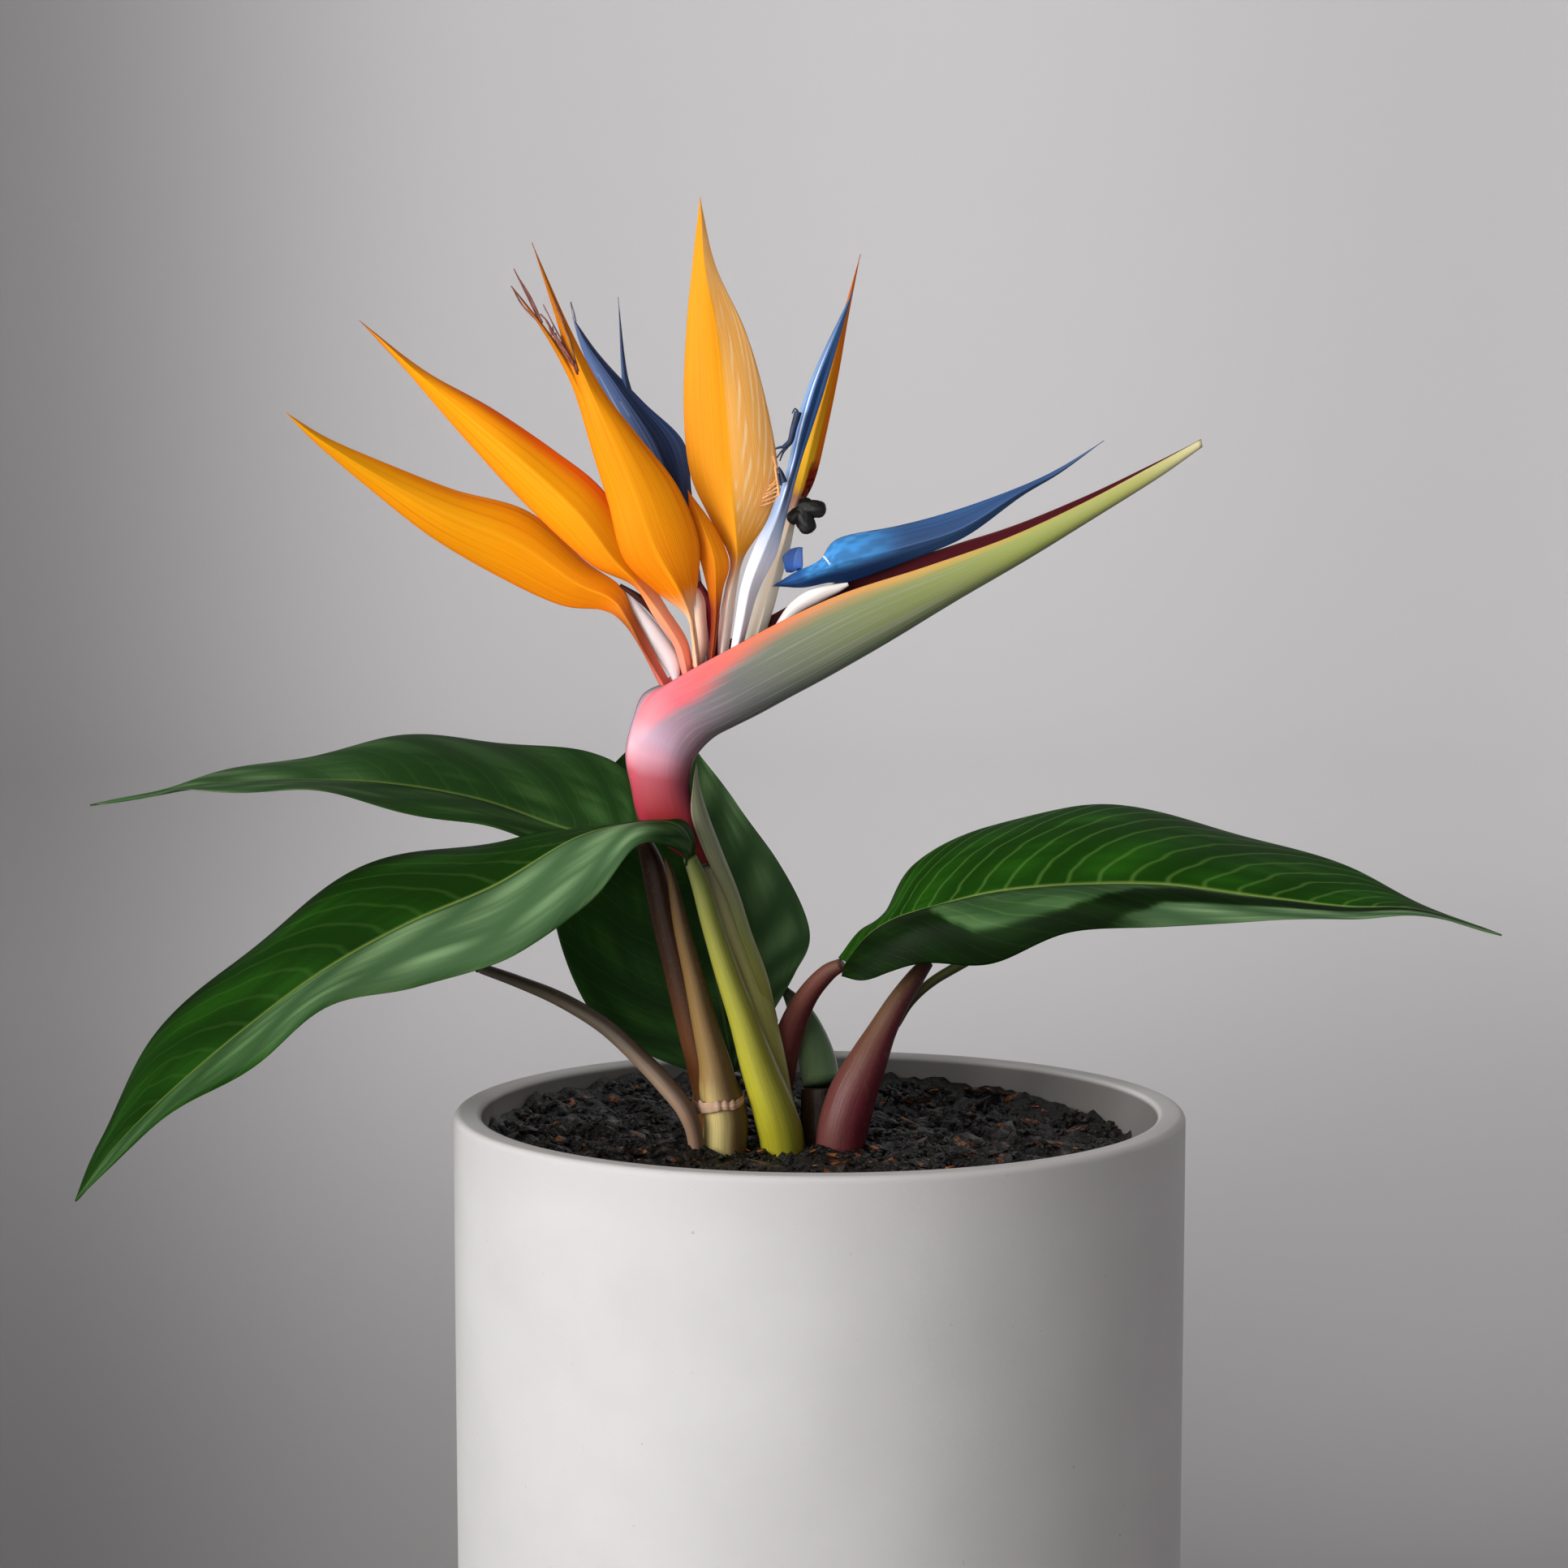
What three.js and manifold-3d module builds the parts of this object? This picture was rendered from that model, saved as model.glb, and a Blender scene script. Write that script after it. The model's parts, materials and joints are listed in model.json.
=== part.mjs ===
import * as THREE from "three";
import { mergeVertices } from "three/addons/utils/BufferGeometryUtils.js";
import Module from "manifold-3d";

// Potted bird of paradise in millimetres, Z up.
// The origin is the centre of the pot's flat underside, +X is to the right
// and +Y is away from the side that the flower is looked at from.

// Pot
const POT_HEIGHT = 230;
const POT_TOP_R = 120;
const POT_BASE_R = 119;
const POT_MOUTH_R = 110.8;
const POT_INNER_R = 103;
const POT_FLOOR = 14;
const RIM_OUTER_ROUND = 4;
const RIM_INNER_ROUND = 2;
const BASE_ROUND = 3;
const TAPER_DEPTH = 24;
const POT_SIDES = 48;
const DRAIN_R = 6;
const DRAIN_CIRCLE_R = 52;
const DRAIN_COUNT = 3;

// Soil
const SOIL_LEVEL = 213.5;
const SOIL_BANK = 9;
const SOIL_LUMP = 1.2;
const SOIL_RINGS = 7;
const SOIL_SIDES = 30;
const CHIP_COUNT = 24;
const CHIP_SEED = 7;

// Fits
const GAP = 0.3;
const STEM_DEPTH = 24;
const EDGE = 0.6;
const TIP_HALF = 0.35;
const STEEPEST = 0.3;
const SIDES = 10;

// Rhizome and roots, a crown under the stems with thick roots that fan out
const CROWN = [
  [-46, 10, 188, 5],
  [-38, 13, 186, 8],
  [-20, 22, 184, 9.5],
  [-4, 24, 185, 9.5],
  [10, 16, 188, 6],
];
const CROWN_BACK = [
  [-14, 20, 184, 7],
  [-18, 36, 186, 8],
  [-24, 46, 188, 6],
];
const ROOT_COUNT = 6;
const ROOT_START = [-14, 22, 184];
const ROOT_REACH = 66;
const ROOT_DROP = 120;
const ROOT_R = 3.2;

// Leaf blades. A row is one cross-section from the stalk end to the tip:
// left edge, midrib, right edge, and how far each half arches above its chord.
const LEAF_A = [
  [[-60, 24, 316.5], [-59.5, 26, 317.5], [-58.5, 28, 319], 0, 0],
  [[-69, 31, 312], [-69, 33, 315.5], [-62, 50, 334], 0, 1],
  [[-92.5, 34, 313.5], [-85.5, 40, 318], [-78.5, 62, 341], 0, 2],
  [[-117, 32, 321], [-113.5, 44, 327], [-109, 70, 344.5], 1, 3],
  [[-149, 30, 327.5], [-145, 48, 332], [-143, 74, 344.5], 1, 4],
  [[-178.5, 34, 331.5], [-176.5, 54, 332.5], [-176.5, 76, 338.5], 1, 2],
  [[-208, 48, 330], [-206.5, 60, 330.5], [-206.5, 76, 331.5], 0, 1],
  [[-225.5, 66, 326], [-225.5, 69, 326.5], [-225.5, 72, 327], 0, 0],
  [[-248, 74, 322], [-248, 74, 322], [-248, 74, 322], 0, 0],
];
const LEAF_B = [
  [[-44, 6, 309.5], [-42.5, 7, 311.5], [-41, 8.5, 312.5], 0, 0],
  [[-44.5, 2, 313.5], [-42.5, 4.5, 318.5], [-41, 7, 320.5], 0, 0],
  [[-49, -4, 317.5], [-48, 0, 324.5], [-46, 6, 324], 1, 0],
  [[-60, -12, 317], [-61.5, -2, 324.5], [-60, 10, 322], 3, 1],
  [[-75.5, -20, 301.5], [-80, -2, 319.5], [-78, 24, 318], 4, 2],
  [[-99.5, -28, 283], [-105.5, -4, 304.5], [-102.5, 25, 317], 4, 3],
  [[-129, -35, 277.5], [-134, -10, 292.5], [-136, 22, 311.5], 3, 4],
  [[-155, -42, 270], [-161, -18, 278], [-166.5, 14, 298.5], 2, 4],
  [[-179, -48, 254.5], [-186, -26, 260], [-193, 4, 277.5], 2, 3],
  [[-201, -54, 241], [-207.5, -36, 242.5], [-218.5, -12, 253], 1, 2],
  [[-219, -59, 228], [-224.5, -48, 226.5], [-231, -36, 227.5], 0, 0],
  [[-236.5, -60, 211], [-236.5, -60, 211], [-236.5, -60, 211], 0, 0],
];
const LEAF_C = [
  [[-30, 41, 236], [-28.5, 39, 236], [-27, 41, 236], 0, 0],
  [[-46, 45, 236], [-30.5, 43, 246], [-17.5, 45, 251.5], 0, 0],
  [[-74, 52, 250.5], [-33.5, 48, 263.5], [-8, 50, 267.5], -3, -3],
  [[-89, 60, 282], [-38.5, 56, 286], [-3, 56, 281], -4, -4],
  [[-88, 70, 309], [-43, 66, 309.5], [-13.5, 66, 303.5], -4, -4],
  [[-75, 80, 330], [-46.5, 76, 329], [-27.5, 76, 322], -3, -3],
  [[-60.5, 88, 343.5], [-48.5, 86, 345], [-39.5, 86, 336], -1, -1],
  [[-49, 92, 351.5], [-49, 92, 351.5], [-49, 92, 351.5], 0, 0],
];
const LEAF_D = [
  [[6.5, 25, 276.5], [9, 22, 275.5], [7.5, 20, 271], 0, 0],
  [[13.5, 26, 285], [16, 20, 284.5], [14, 12, 271], 0, 2],
  [[21.5, 30, 291.5], [25, 18, 290.5], [24, 6, 274.5], 1, 5],
  [[32, 38, 305], [37.5, 16, 294.5], [37.5, 0, 278.5], 2, 8],
  [[56, 44, 318.5], [58, 12, 300], [57.5, -4, 279.5], 3, 9],
  [[85, 42, 325], [83, 6, 303], [82.5, -8, 289], 4, 7],
  [[114.5, 36, 323], [112, 0, 304], [111.5, -10, 292.5], 4, 3],
  [[144.5, 26, 317], [142, -6, 301], [141.5, -13, 293.5], 3, 1],
  [[172.5, 8, 309], [170.5, -12, 298.5], [170, -18, 295.5], 1, 0],
  [[194.5, -12, 300], [193.5, -19, 298.5], [192.5, -23, 297.5], 0, 0],
  [[219, -30, 292], [219, -30, 292], [219, -30, 292], 0, 0],
];
const LEAF_F = [
  [[37, 26, 278.5], [37.5, 24, 277.5], [38.5, 22, 276.5], 0, 0],
  [[47, 54, 287.5], [47, 44, 282.5], [50.5, 34, 278.5], 1, 1],
  [[66, 78, 298.5], [66.5, 62, 292], [69, 48, 284], 2, 2],
  [[89, 94, 306], [89.5, 82, 300.5], [93, 68, 293], 1, 1],
  [[116, 102, 308], [116, 102, 308], [116, 102, 308], 0, 0],
];
const LEAF_G = [
  [[-114, 38, 270.5], [-114.5, 40, 271.5], [-115, 42, 272], 0, 0],
  [[-125.5, 44, 269], [-127, 54, 274.5], [-127, 66, 283], 1, 1],
  [[-144.5, 58, 267.5], [-146.5, 70, 275.5], [-146.5, 86, 288], 2, 2],
  [[-166, 76, 266.5], [-168.5, 86, 273.5], [-168.5, 98, 283.5], 1, 1],
  [[-186.5, 100, 268.5], [-186.5, 100, 268.5], [-186.5, 100, 268.5], 0, 0],
];

// Sepals and petals, each one piece with the claw that it stands on.
// The rows are the same as for a leaf.
const SEPAL_1 = [
  [[-54, 17, 371], [-52.5, 15, 370.5], [-51, 17, 371], 0, 0],
  [[-59.5, 17, 381.5], [-57.5, 14.5, 380], [-55.5, 17, 381.5], 0, 0],
  [[-65, 19, 389], [-63, 16.5, 390], [-61, 19, 392], 0, 0],
  [[-71.5, 22, 392.5], [-68.5, 19, 396.5], [-65.5, 22, 400.5], 0, 0],
  [[-85, 24, 394], [-80.5, 19, 402], [-77, 24, 408.5], 0, 1],
  [[-103.5, 22, 402.5], [-99, 16, 415], [-95.5, 22, 425], 1, 1],
  [[-126.5, 16, 416.5], [-122.5, 11, 425.5], [-119.5, 16, 432.5], 1, 1],
  [[-146.5, 9, 433], [-143.5, 5.5, 437.5], [-140, 9, 441], 0, 0],
  [[-163, 2, 448], [-161, 0.5, 449], [-159.5, 2, 450], 0, 0],
  [[-172.5, -4, 458.5], [-172.5, -4, 458.5], [-172.5, -4, 458.5], 0, 0],
];
const SEPAL_2 = [
  [[-45, 17, 371.5], [-43, 15, 371], [-41, 17, 373], 0, 0],
  [[-48, 16, 381.5], [-45.5, 13.5, 381.5], [-43.5, 16, 383.5], 0, 0],
  [[-54, 14.5, 390.5], [-52, 12.5, 392], [-50, 14.5, 394], 0, 0],
  [[-61, 15, 401], [-58.5, 12, 401], [-55, 15, 403], 0, 0],
  [[-73.5, 16, 407], [-67.5, 11, 410], [-60, 16, 415], 1, 0],
  [[-87, 17, 418.5], [-78.5, 11, 424.5], [-71, 17, 432.5], 1, 0],
  [[-103, 18, 434.5], [-95.5, 13, 440.5], [-86.5, 18, 445], 1, 0],
  [[-120.5, 19, 454], [-114, 15.5, 455.5], [-106.5, 19, 458.5], 0, 1],
  [[-135.5, 20, 471.5], [-132.5, 18, 471.5], [-129.5, 20, 471.5], 0, 0],
  [[-150.5, 22, 487.5], [-150.5, 22, 487.5], [-150.5, 22, 487.5], 0, 0],
];
const SEPAL_3 = [
  [[-41.5, 15, 374.5], [-40, 13.5, 374], [-39, 15, 375], 0, 0],
  [[-42, 12.5, 384.5], [-41, 11, 384.5], [-40, 12.5, 384.5], 0, 0],
  [[-44, 10.5, 392], [-42.5, 8.5, 392.5], [-41, 10.5, 394], 0, 0],
  [[-54, 9.5, 400], [-46.5, 5.5, 401.5], [-39.5, 9.5, 404], 0, 0],
  [[-64, 9, 410.5], [-54, 4, 414.5], [-39.5, 9, 417.5], 1, 1],
  [[-69, 8, 429], [-60.5, 3, 433], [-46.5, 8, 434.5], 1, 1],
  [[-75, 7, 449], [-68.5, 3, 452], [-58.5, 7, 450], 1, 1],
  [[-79.5, 6, 466], [-75.5, 3.5, 468], [-70, 6, 465], 0, 0],
  [[-84, 5, 483.5], [-82.5, 4, 484.5], [-80.5, 5, 484.5], 0, 0],
  [[-93, 3, 513], [-93, 3, 513], [-93, 3, 513], 0, 0],
];
const SEPAL_3_PRONG = [
  [[-76, 7, 453], [-73.5, 4.5, 454], [-71.5, 7, 455], 0, 0],
  [[-81, 6.5, 468], [-79.5, 5, 468.5], [-78, 6.5, 469.5], 0, 0],
  [[-89.5, 5, 484], [-88.5, 4, 484], [-88, 5, 484.5], 0, 0],
  [[-99.5, 3, 498.5], [-99.5, 3, 498.5], [-99.5, 3, 498.5], 0, 0],
];
const SEPAL_4 = [
  [[-33.5, 18, 372], [-32.5, 16.5, 371], [-31, 18, 372], 0, 0],
  [[-33, 18, 388.5], [-31, 16, 387.5], [-28.5, 18, 388.5], 0, 0],
  [[-31, 18, 400], [-29, 16, 400], [-27, 18, 400], 0, 0],
  [[-29.5, 18.5, 410], [-27, 16, 410], [-24.5, 18.5, 410.5], 0, 0],
  [[-36, 20, 423], [-28, 15, 423], [-17, 20, 422.5], 0, 0],
  [[-42.5, 21, 438], [-29.5, 16, 436.5], [-13.5, 21, 436.5], 1, 1],
  [[-44.5, 22, 459.5], [-31, 18, 457], [-17, 22, 459], 1, 1],
  [[-43.5, 22, 485], [-33.5, 19, 483], [-24, 22, 483.5], 1, 0],
  [[-41.5, 22, 506], [-37.5, 20.5, 505], [-34, 22, 505.5], 0, 0],
  [[-39, 22, 527.5], [-39, 22, 527.5], [-39, 22, 527.5], 0, 0],
];
const SEPAL_5 = [
  [[-26, 20, 375], [-23.5, 18, 374], [-21, 20, 375.5], 0, 0],
  [[-23, 21, 390], [-19, 18, 390], [-15.5, 21, 391.5], 0, 0],
  [[-18.5, 22.5, 401.5], [-15.5, 20, 401.5], [-12.5, 22.5, 402.5], 0, 0],
  [[-14.5, 24, 412.5], [-12, 21.5, 413], [-9.5, 24, 413], 0, 0],
  [[-11, 25, 423.5], [-9, 23, 423.5], [-7, 25, 424], 0, 0],
  [[-10, 26, 435.5], [-5.5, 23, 435], [-1.5, 26, 435], 0, 0],
  [[-5.5, 27, 451.5], [-1.5, 24.5, 451], [2.5, 27, 451], 0, 0],
  [[0.5, 28, 470], [3.5, 26, 470], [6.5, 28, 470.5], 0, 0],
  [[7, 29, 487.5], [8, 28, 487.5], [9.5, 29, 488], 0, 0],
  [[13.5, 30, 509], [13.5, 30, 509], [13.5, 30, 509], 0, 0],
];
const SEPAL_6 = [
  [[-37, 17, 372], [-36, 16, 371.5], [-35, 17, 372.5], 0, 0],
  [[-35.5, 14.5, 389.5], [-34, 13, 389.5], [-33, 14.5, 390], 0, 0],
  [[-36.5, 13.5, 399], [-34, 12, 399], [-31.5, 13.5, 400], 0, 0],
  [[-39, 13, 409.5], [-34.5, 11, 410], [-29.5, 13, 409], 0, 0],
  [[-42, 13, 420.5], [-38, 11.5, 420.5], [-34, 13, 420], 0, 0],
  [[-43, 13, 432.5], [-43, 13, 432.5], [-43, 13, 432.5], 0, 0],
];
const PETAL_1 = [
  [[-38, 20, 371.5], [-36.5, 19, 370.5], [-35.5, 20, 371.5], 0, 0],
  [[-40, 22, 389], [-38.5, 20.5, 389], [-36.5, 22, 389], 0, 0],
  [[-44.5, 24, 406], [-42, 22, 406.5], [-39.5, 24, 407], 0, 0],
  [[-54, 25, 427.5], [-48, 22.5, 429.5], [-42, 25, 431.5], 0, 0],
  [[-63.5, 26, 445], [-54.5, 23, 447.5], [-44.5, 26, 447.5], 0, 0],
  [[-71.5, 26.5, 462], [-65.5, 24, 464.5], [-58, 26.5, 461], 0, 0],
  [[-78, 27, 478], [-75.5, 25, 478.5], [-72, 27, 476], 0, 0],
  [[-81, 27, 488.5], [-81, 27, 488.5], [-81, 27, 488.5], 0, 0],
];
const PETAL_1_PRONG = [
  [[-63.5, 26.5, 457], [-61, 25, 457.5], [-59, 26.5, 458], 0, 0],
  [[-65, 27, 470], [-64, 26, 470], [-63, 27, 470], 0, 0],
  [[-66, 28, 495], [-66, 28, 495], [-66, 28, 495], 0, 0],
];
const PETAL_2 = [
  [[-30, 14.5, 374.5], [-28.5, 13, 373.5], [-26.5, 14.5, 375.5], 0, 0],
  [[-27.5, 13.5, 390.5], [-25, 11.5, 390], [-22.5, 13.5, 391], 0, 0],
  [[-25.5, 13.5, 402], [-22.5, 11, 401.5], [-19.5, 13.5, 400.5], 0, 0],
  [[-21.5, 14.5, 413.5], [-18, 12, 413], [-14, 14.5, 411.5], 0, 0],
  [[-15.5, 16, 426], [-13, 14, 425.5], [-10.5, 16, 425], 0, 0],
  [[-10.5, 17, 440], [-8.5, 15, 440], [-6, 17, 441.5], 0, 0],
  [[-7.5, 18, 454.5], [-4.5, 16, 455], [-1.5, 18, 455], 0, 0],
  [[-2, 19, 470.5], [0.5, 17.5, 471], [3.5, 19, 471], 0, 0],
  [[11, 21, 497.5], [11, 21, 497.5], [11, 21, 497.5], 0, 0],
];
const PETAL_3 = [
  [[-14, 20, 401.5], [-14.5, 19.5, 401], [-13.5, 20, 400.5], 0, 0],
  [[-8, 15, 405.5], [-7, 13, 403.5], [-5, 15, 400.5], 0, 0],
  [[0, 15, 409.5], [1, 11.5, 406.5], [3, 15, 402], 0, 0],
  [[6.5, 17, 416.5], [9, 12.5, 409.5], [11, 17, 402.5], 1, 0],
  [[26, 18, 420.5], [27.5, 14, 414], [29, 18, 409], 1, 0],
  [[44, 18, 425.5], [46.5, 15, 420], [48, 18, 417], 0, 0],
  [[63.5, 18, 432.5], [64.5, 16, 431], [66, 18, 430], 0, 0],
  [[77.5, 17, 439], [78.5, 16, 438.5], [79, 17, 438], 0, 0],
  [[93, 16, 448.5], [93, 16, 448.5], [93, 16, 448.5], 0, 0],
];
const PETAL_SCRAP = [
  [[-11, 15.5, 405.5], [-9, 16, 405.5], [-7, 15.5, 406.5], 0, 0],
  [[-11.5, 16, 407.5], [-8.5, 16.8, 407], [-5.5, 16, 407], 0, 0],
  [[-12, 16.5, 410.5], [-8, 17.5, 411], [-5.5, 16.5, 411.5], 0, 0],
  [[-9.5, 16.5, 413], [-7, 17, 413.5], [-5.5, 16.5, 413.5], 0, 0],
];

// Stems and bracts. A row is a point of the axis and the radius there.
const FLOWER_STALK = [
  [-12, 26.5, 212, 5.6],
  [-14.5, 26, 230, 5.6],
  [-18, 25, 249.5, 5.5],
  [-23, 24, 269.5, 4.9],
  [-28.5, 23, 285, 4.6],
  [-33.5, 21.5, 299, 4.6],
  [-37, 20.3, 307.8, 4.8],
];
// Bract that clasps the back and right of the stalk and the neck, in the rows
// of a blade: front margin, right side, rear margin.
const STALK_BRACT = [
  [[-17, 19.5, 256], [-13.5, 25, 256.5], [-16, 30, 256], 1, 1],
  [[-21, 18.5, 270.5], [-17.5, 24, 270.5], [-21, 29.5, 270.5], 1, 1],
  [[-26, 17, 284.5], [-22.5, 23, 284.5], [-26, 29, 284.5], 1, 1],
  [[-31, 15.5, 298.5], [-27, 21.5, 298.5], [-31, 27.5, 298.5], 1.5, 1.5],
  [[-37.5, 11.5, 312.5], [-32.5, 19.5, 312], [-37, 27, 312.5], 2, 2],
  [[-42, 11.5, 325.5], [-37.5, 18.5, 326], [-42, 25, 325.5], 2, 2],
  [[-41.5, 14.5, 336], [-40, 17.5, 336], [-41.5, 20.5, 336], 0.5, 0.5],
  [[-40.5, 17, 342.5], [-40.5, 17, 342.5], [-40.5, 17, 342.5], 0, 0],
];
const PETIOLE_A = [
  [-34, 25.5, 214, 5.3],
  [-37, 25.5, 231.5, 5.2],
  [-41.5, 25, 250.5, 5],
  [-46.5, 25, 271, 4.8],
  [-51.5, 25, 290.5, 4.5],
  [-55, 25.5, 306.5, 4],
  [-58, 26, 315.5, 2.6],
];
const PETIOLE_B = [
  [-12, 13, 214, 7.2],
  [-14.5, 12.5, 226, 7.2],
  [-20, 12.5, 242, 6],
  [-25, 12, 258, 4.8],
  [-30.5, 11.5, 274, 4.1],
  [-35.5, 11, 290, 3.5],
  [-39, 10, 303, 3.1],
  [-42.5, 7.5, 312.5, 2.3],
];
const PETIOLE_C = [
  [-31.5, 41, 213.5, 4.2],
  [-30.5, 41, 223, 4],
  [-29, 40, 235, 3],
];
const PETIOLE_D = [
  [-16.5, 39, 211, 5.2],
  [-14.5, 38.5, 226.5, 5.2],
  [-11.5, 37, 242, 5],
  [-8, 34, 254, 4.4],
  [-3.5, 30, 263.5, 3.6],
  [2.5, 26, 271, 3],
  [7.5, 22.8, 274.5, 2.2],
];
const PETIOLE_F = [
  [7, 14, 215, 8.2],
  [10.5, 14.5, 230.5, 8.2],
  [16, 15, 243, 6.6],
  [21, 16, 253.5, 4.8],
  [26, 17.5, 262.5, 3.8],
  [31.5, 20, 270, 3.1],
  [36, 22.5, 275.5, 2.2],
];
const PETIOLE_G = [
  [-40.5, 6, 216, 2.6],
  [-43.5, 5, 227.5, 3],
  [-50.5, 8, 236.5, 3.2],
  [-60, 14, 245.5, 3],
  [-71.5, 21, 254.5, 2.8],
  [-86, 28, 262, 2.5],
  [-100, 34, 267, 2.1],
  [-113, 38.5, 271, 1.8],
];
const SHEATH_TAN = [
  [-31, 12, 215, 7.2],
  [-31, 12, 225, 7.4],
  [-33, 12, 233.5, 6.7],
  [-34.5, 12, 243.5, 5.3],
  [-38, 12.5, 257.5, 4.2],
  [-41.5, 13, 272.5, 3.4],
  [-45.5, 13.5, 289, 2.7],
  [-48.5, 14, 304, 1.5],
  [-50.5, 14.5, 311, 0.6],
];
const SHEATH_GREEN = [
  [1, 38, 232.5, 6.4],
  [-0.5, 43.5, 239.5, 6.2],
  [-3, 48, 247.5, 5.2],
  [-7, 51, 255.5, 3.6],
  [-12, 53, 262.5, 1],
];
const OLD_LEAF_BASE = [
  [0.5, 32, 212.5, 6.8],
  [0.5, 33, 223, 6.6],
  [0.5, 34, 231, 6.2],
];
const YOUNG_LEAF = [
  [25.8, 21.2, 254.5, 1.2],
  [30.5, 24, 262, 1.5],
  [38, 26.5, 268.5, 1.6],
  [50.5, 30, 275.5, 1.8],
  [65.5, 40, 284, 2.4],
  [82.5, 54, 295, 2.6],
  [100, 70, 303.5, 1.6],
  [113, 80, 308, 0.5],
];
const BRACT_WHITE = [
  [-47, 17, 370, 1.2],
  [-49, 18.5, 376, 3],
  [-54.5, 20.5, 384.5, 3.2],
  [-59.5, 22, 391.5, 2.4],
  [-64.5, 23, 399.5, 0.8],
];
const BRACT_BROWN = [
  [-44, 21, 372.5, 0.8],
  [-48, 21, 383.5, 1.4],
  [-54.5, 20, 392.5, 1.5],
  [-59.5, 19, 397, 1.2],
  [-65.5, 19, 401, 0.6],
];
const BRACT_CREAM = [
  [-39, 19, 374.5, 0.8],
  [-38.5, 18.5, 381, 1.9],
  [-39, 18, 389.5, 2],
  [-39, 17.5, 395.5, 1.5],
  [-40, 17, 400, 0.6],
];
const BRACT_MAROON = [
  [-34.5, 21, 376.5, 1.4],
  [-34.5, 22, 385, 2.4],
  [-35.5, 22, 393, 2.2],
  [-38, 22, 398.5, 1.2],
  [-39.5, 22, 402, 0.5],
];
const CLAW_WHITE = [
  [-16.5, 18, 382.5, 1],
  [-8.5, 17.5, 393, 2.2],
  [-0.5, 17, 398, 2.6],
  [5.5, 16.5, 400, 1.6],
  [9.5, 16, 401.5, 0.6],
];

// Spathe. A row holds the top edge (x, z), the keel (x, z), the middle's y, the
// half width, the half angle that the wall wraps, the groove's depth from 0
// to 1 and the wall's thickness.
const SPATHE = [
  [-44.5, 310.5, -34, 309, 20, 5.4, 2.75, 0, 1.6],
  [-51, 315.5, -36, 317, 19, 6.4, 2.75, 0, 1.6],
  [-58.5, 323, -39.5, 325.5, 18, 7.4, 2.75, 0, 1.6],
  [-61.5, 335, -42.5, 333.5, 17.5, 8, 2.75, 0, 1.6],
  [-63, 345.5, -42, 341, 17, 8, 2.75, 0, 1.6],
  [-60.5, 356.5, -39.5, 346, 17, 8.4, 2.75, 0, 1.6],
  [-56, 364.5, -34.5, 351, 17, 9, 2.6, 0, 1.6],
  [-48.5, 370, -28, 354.5, 17, 9.5, 2.3, 0.2, 1.6],
  [-40, 375, -20, 358.5, 17, 9.6, 2.15, 0.4, 1.6],
  [-28, 381.5, -9, 364.5, 17, 9.6, 2.1, 0.45, 1.6],
  [-13, 389.5, 4, 371.5, 17, 9.2, 2.1, 0.6, 1.6],
  [8, 399, 23, 382.5, 16.5, 8, 2.15, 0.9, 1.5],
  [34.5, 407.5, 45, 396, 16, 6.4, 2.2, 0.9, 1.3],
  [61.5, 417, 68, 409.5, 15.5, 4.8, 2.25, 0.85, 1.1],
  [86.5, 428.5, 90.5, 423.5, 15, 3.2, 2.3, 0.7, 1],
  [109, 440.5, 111, 436.5, 14.5, 1.8, 2.5, 0.3, 0.8],
  [124.5, 449, 125, 446.5, 14, 1.1, 2.7, 0, 0.5],
];
const FAR_EDGE_RISE = 4;

const wasm = await Module();
wasm.setup();

// Value of a row of numbers at t along a list of rows, by a uniform Catmull-Rom spline.
function spline(rows, t) {
  const last = rows.length - 1;
  const x = Math.min(Math.max(t, 0), 1) * last;
  const i = Math.min(Math.floor(x), last - 1);
  const f = x - i;
  const at = (k, n) => rows[k][n];
  return rows[0].map((_, n) => {
    const b = at(i, n);
    const c = at(i + 1, n);
    const a = i > 0 ? at(i - 1, n) : 2 * b - c;
    const d = i + 2 <= last ? at(i + 2, n) : 2 * c - b;
    const slope = (c - a) / 2;
    const bend = a - 2.5 * b + 2 * c - d / 2;
    const turn = (d - a) / 2 + 1.5 * (b - c);
    return b + f * (slope + f * (bend + f * turn));
  });
}

const vec = (a, from = 0) => new THREE.Vector3(a[from], a[from + 1], a[from + 2]);
const mix = (a, b, t) => a + (b - a) * t;
const ease = (a, b, x) => THREE.MathUtils.smoothstep(x, a, b);

// Closed solid through a list of rings with equally many points each. A flat
// cap joins point k of an end ring to point n-1-k, and the second half of
// each ring is split the other way, so a thin blade's two faces match.
function loft(rings) {
  const n = rings[0].length;
  const index = [];
  for (let i = 0; i + 1 < rings.length; i++) {
    for (let k = 0; k < n; k++) {
      const a = i * n + k;
      const b = i * n + ((k + 1) % n);
      if (k < n / 2) index.push(a, b, b + n, a, b + n, a + n);
      else index.push(a, b, a + n, b, b + n, a + n);
    }
  }
  const end = (rings.length - 1) * n;
  for (let k = 0; k < n / 2 - 1; k++) {
    const quad = [k, k + 1, n - 2 - k, n - 1 - k];
    const split = quad[1] === quad[2] ? [[0, 1, 3]] : [[0, 1, 2], [0, 2, 3]];
    for (const [p, q, r] of split) {
      if (quad[q] === quad[r]) continue;
      index.push(quad[p], quad[r], quad[q]);
      index.push(end + quad[p], end + quad[q], end + quad[r]);
    }
  }
  const geometry = new THREE.BufferGeometry();
  const flat = rings.flat().flatMap((p) => [p.x, p.y, p.z]);
  geometry.setAttribute("position", new THREE.Float32BufferAttribute(flat, 3));
  geometry.setIndex(index);
  return faceOut(geometry);
}

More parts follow.
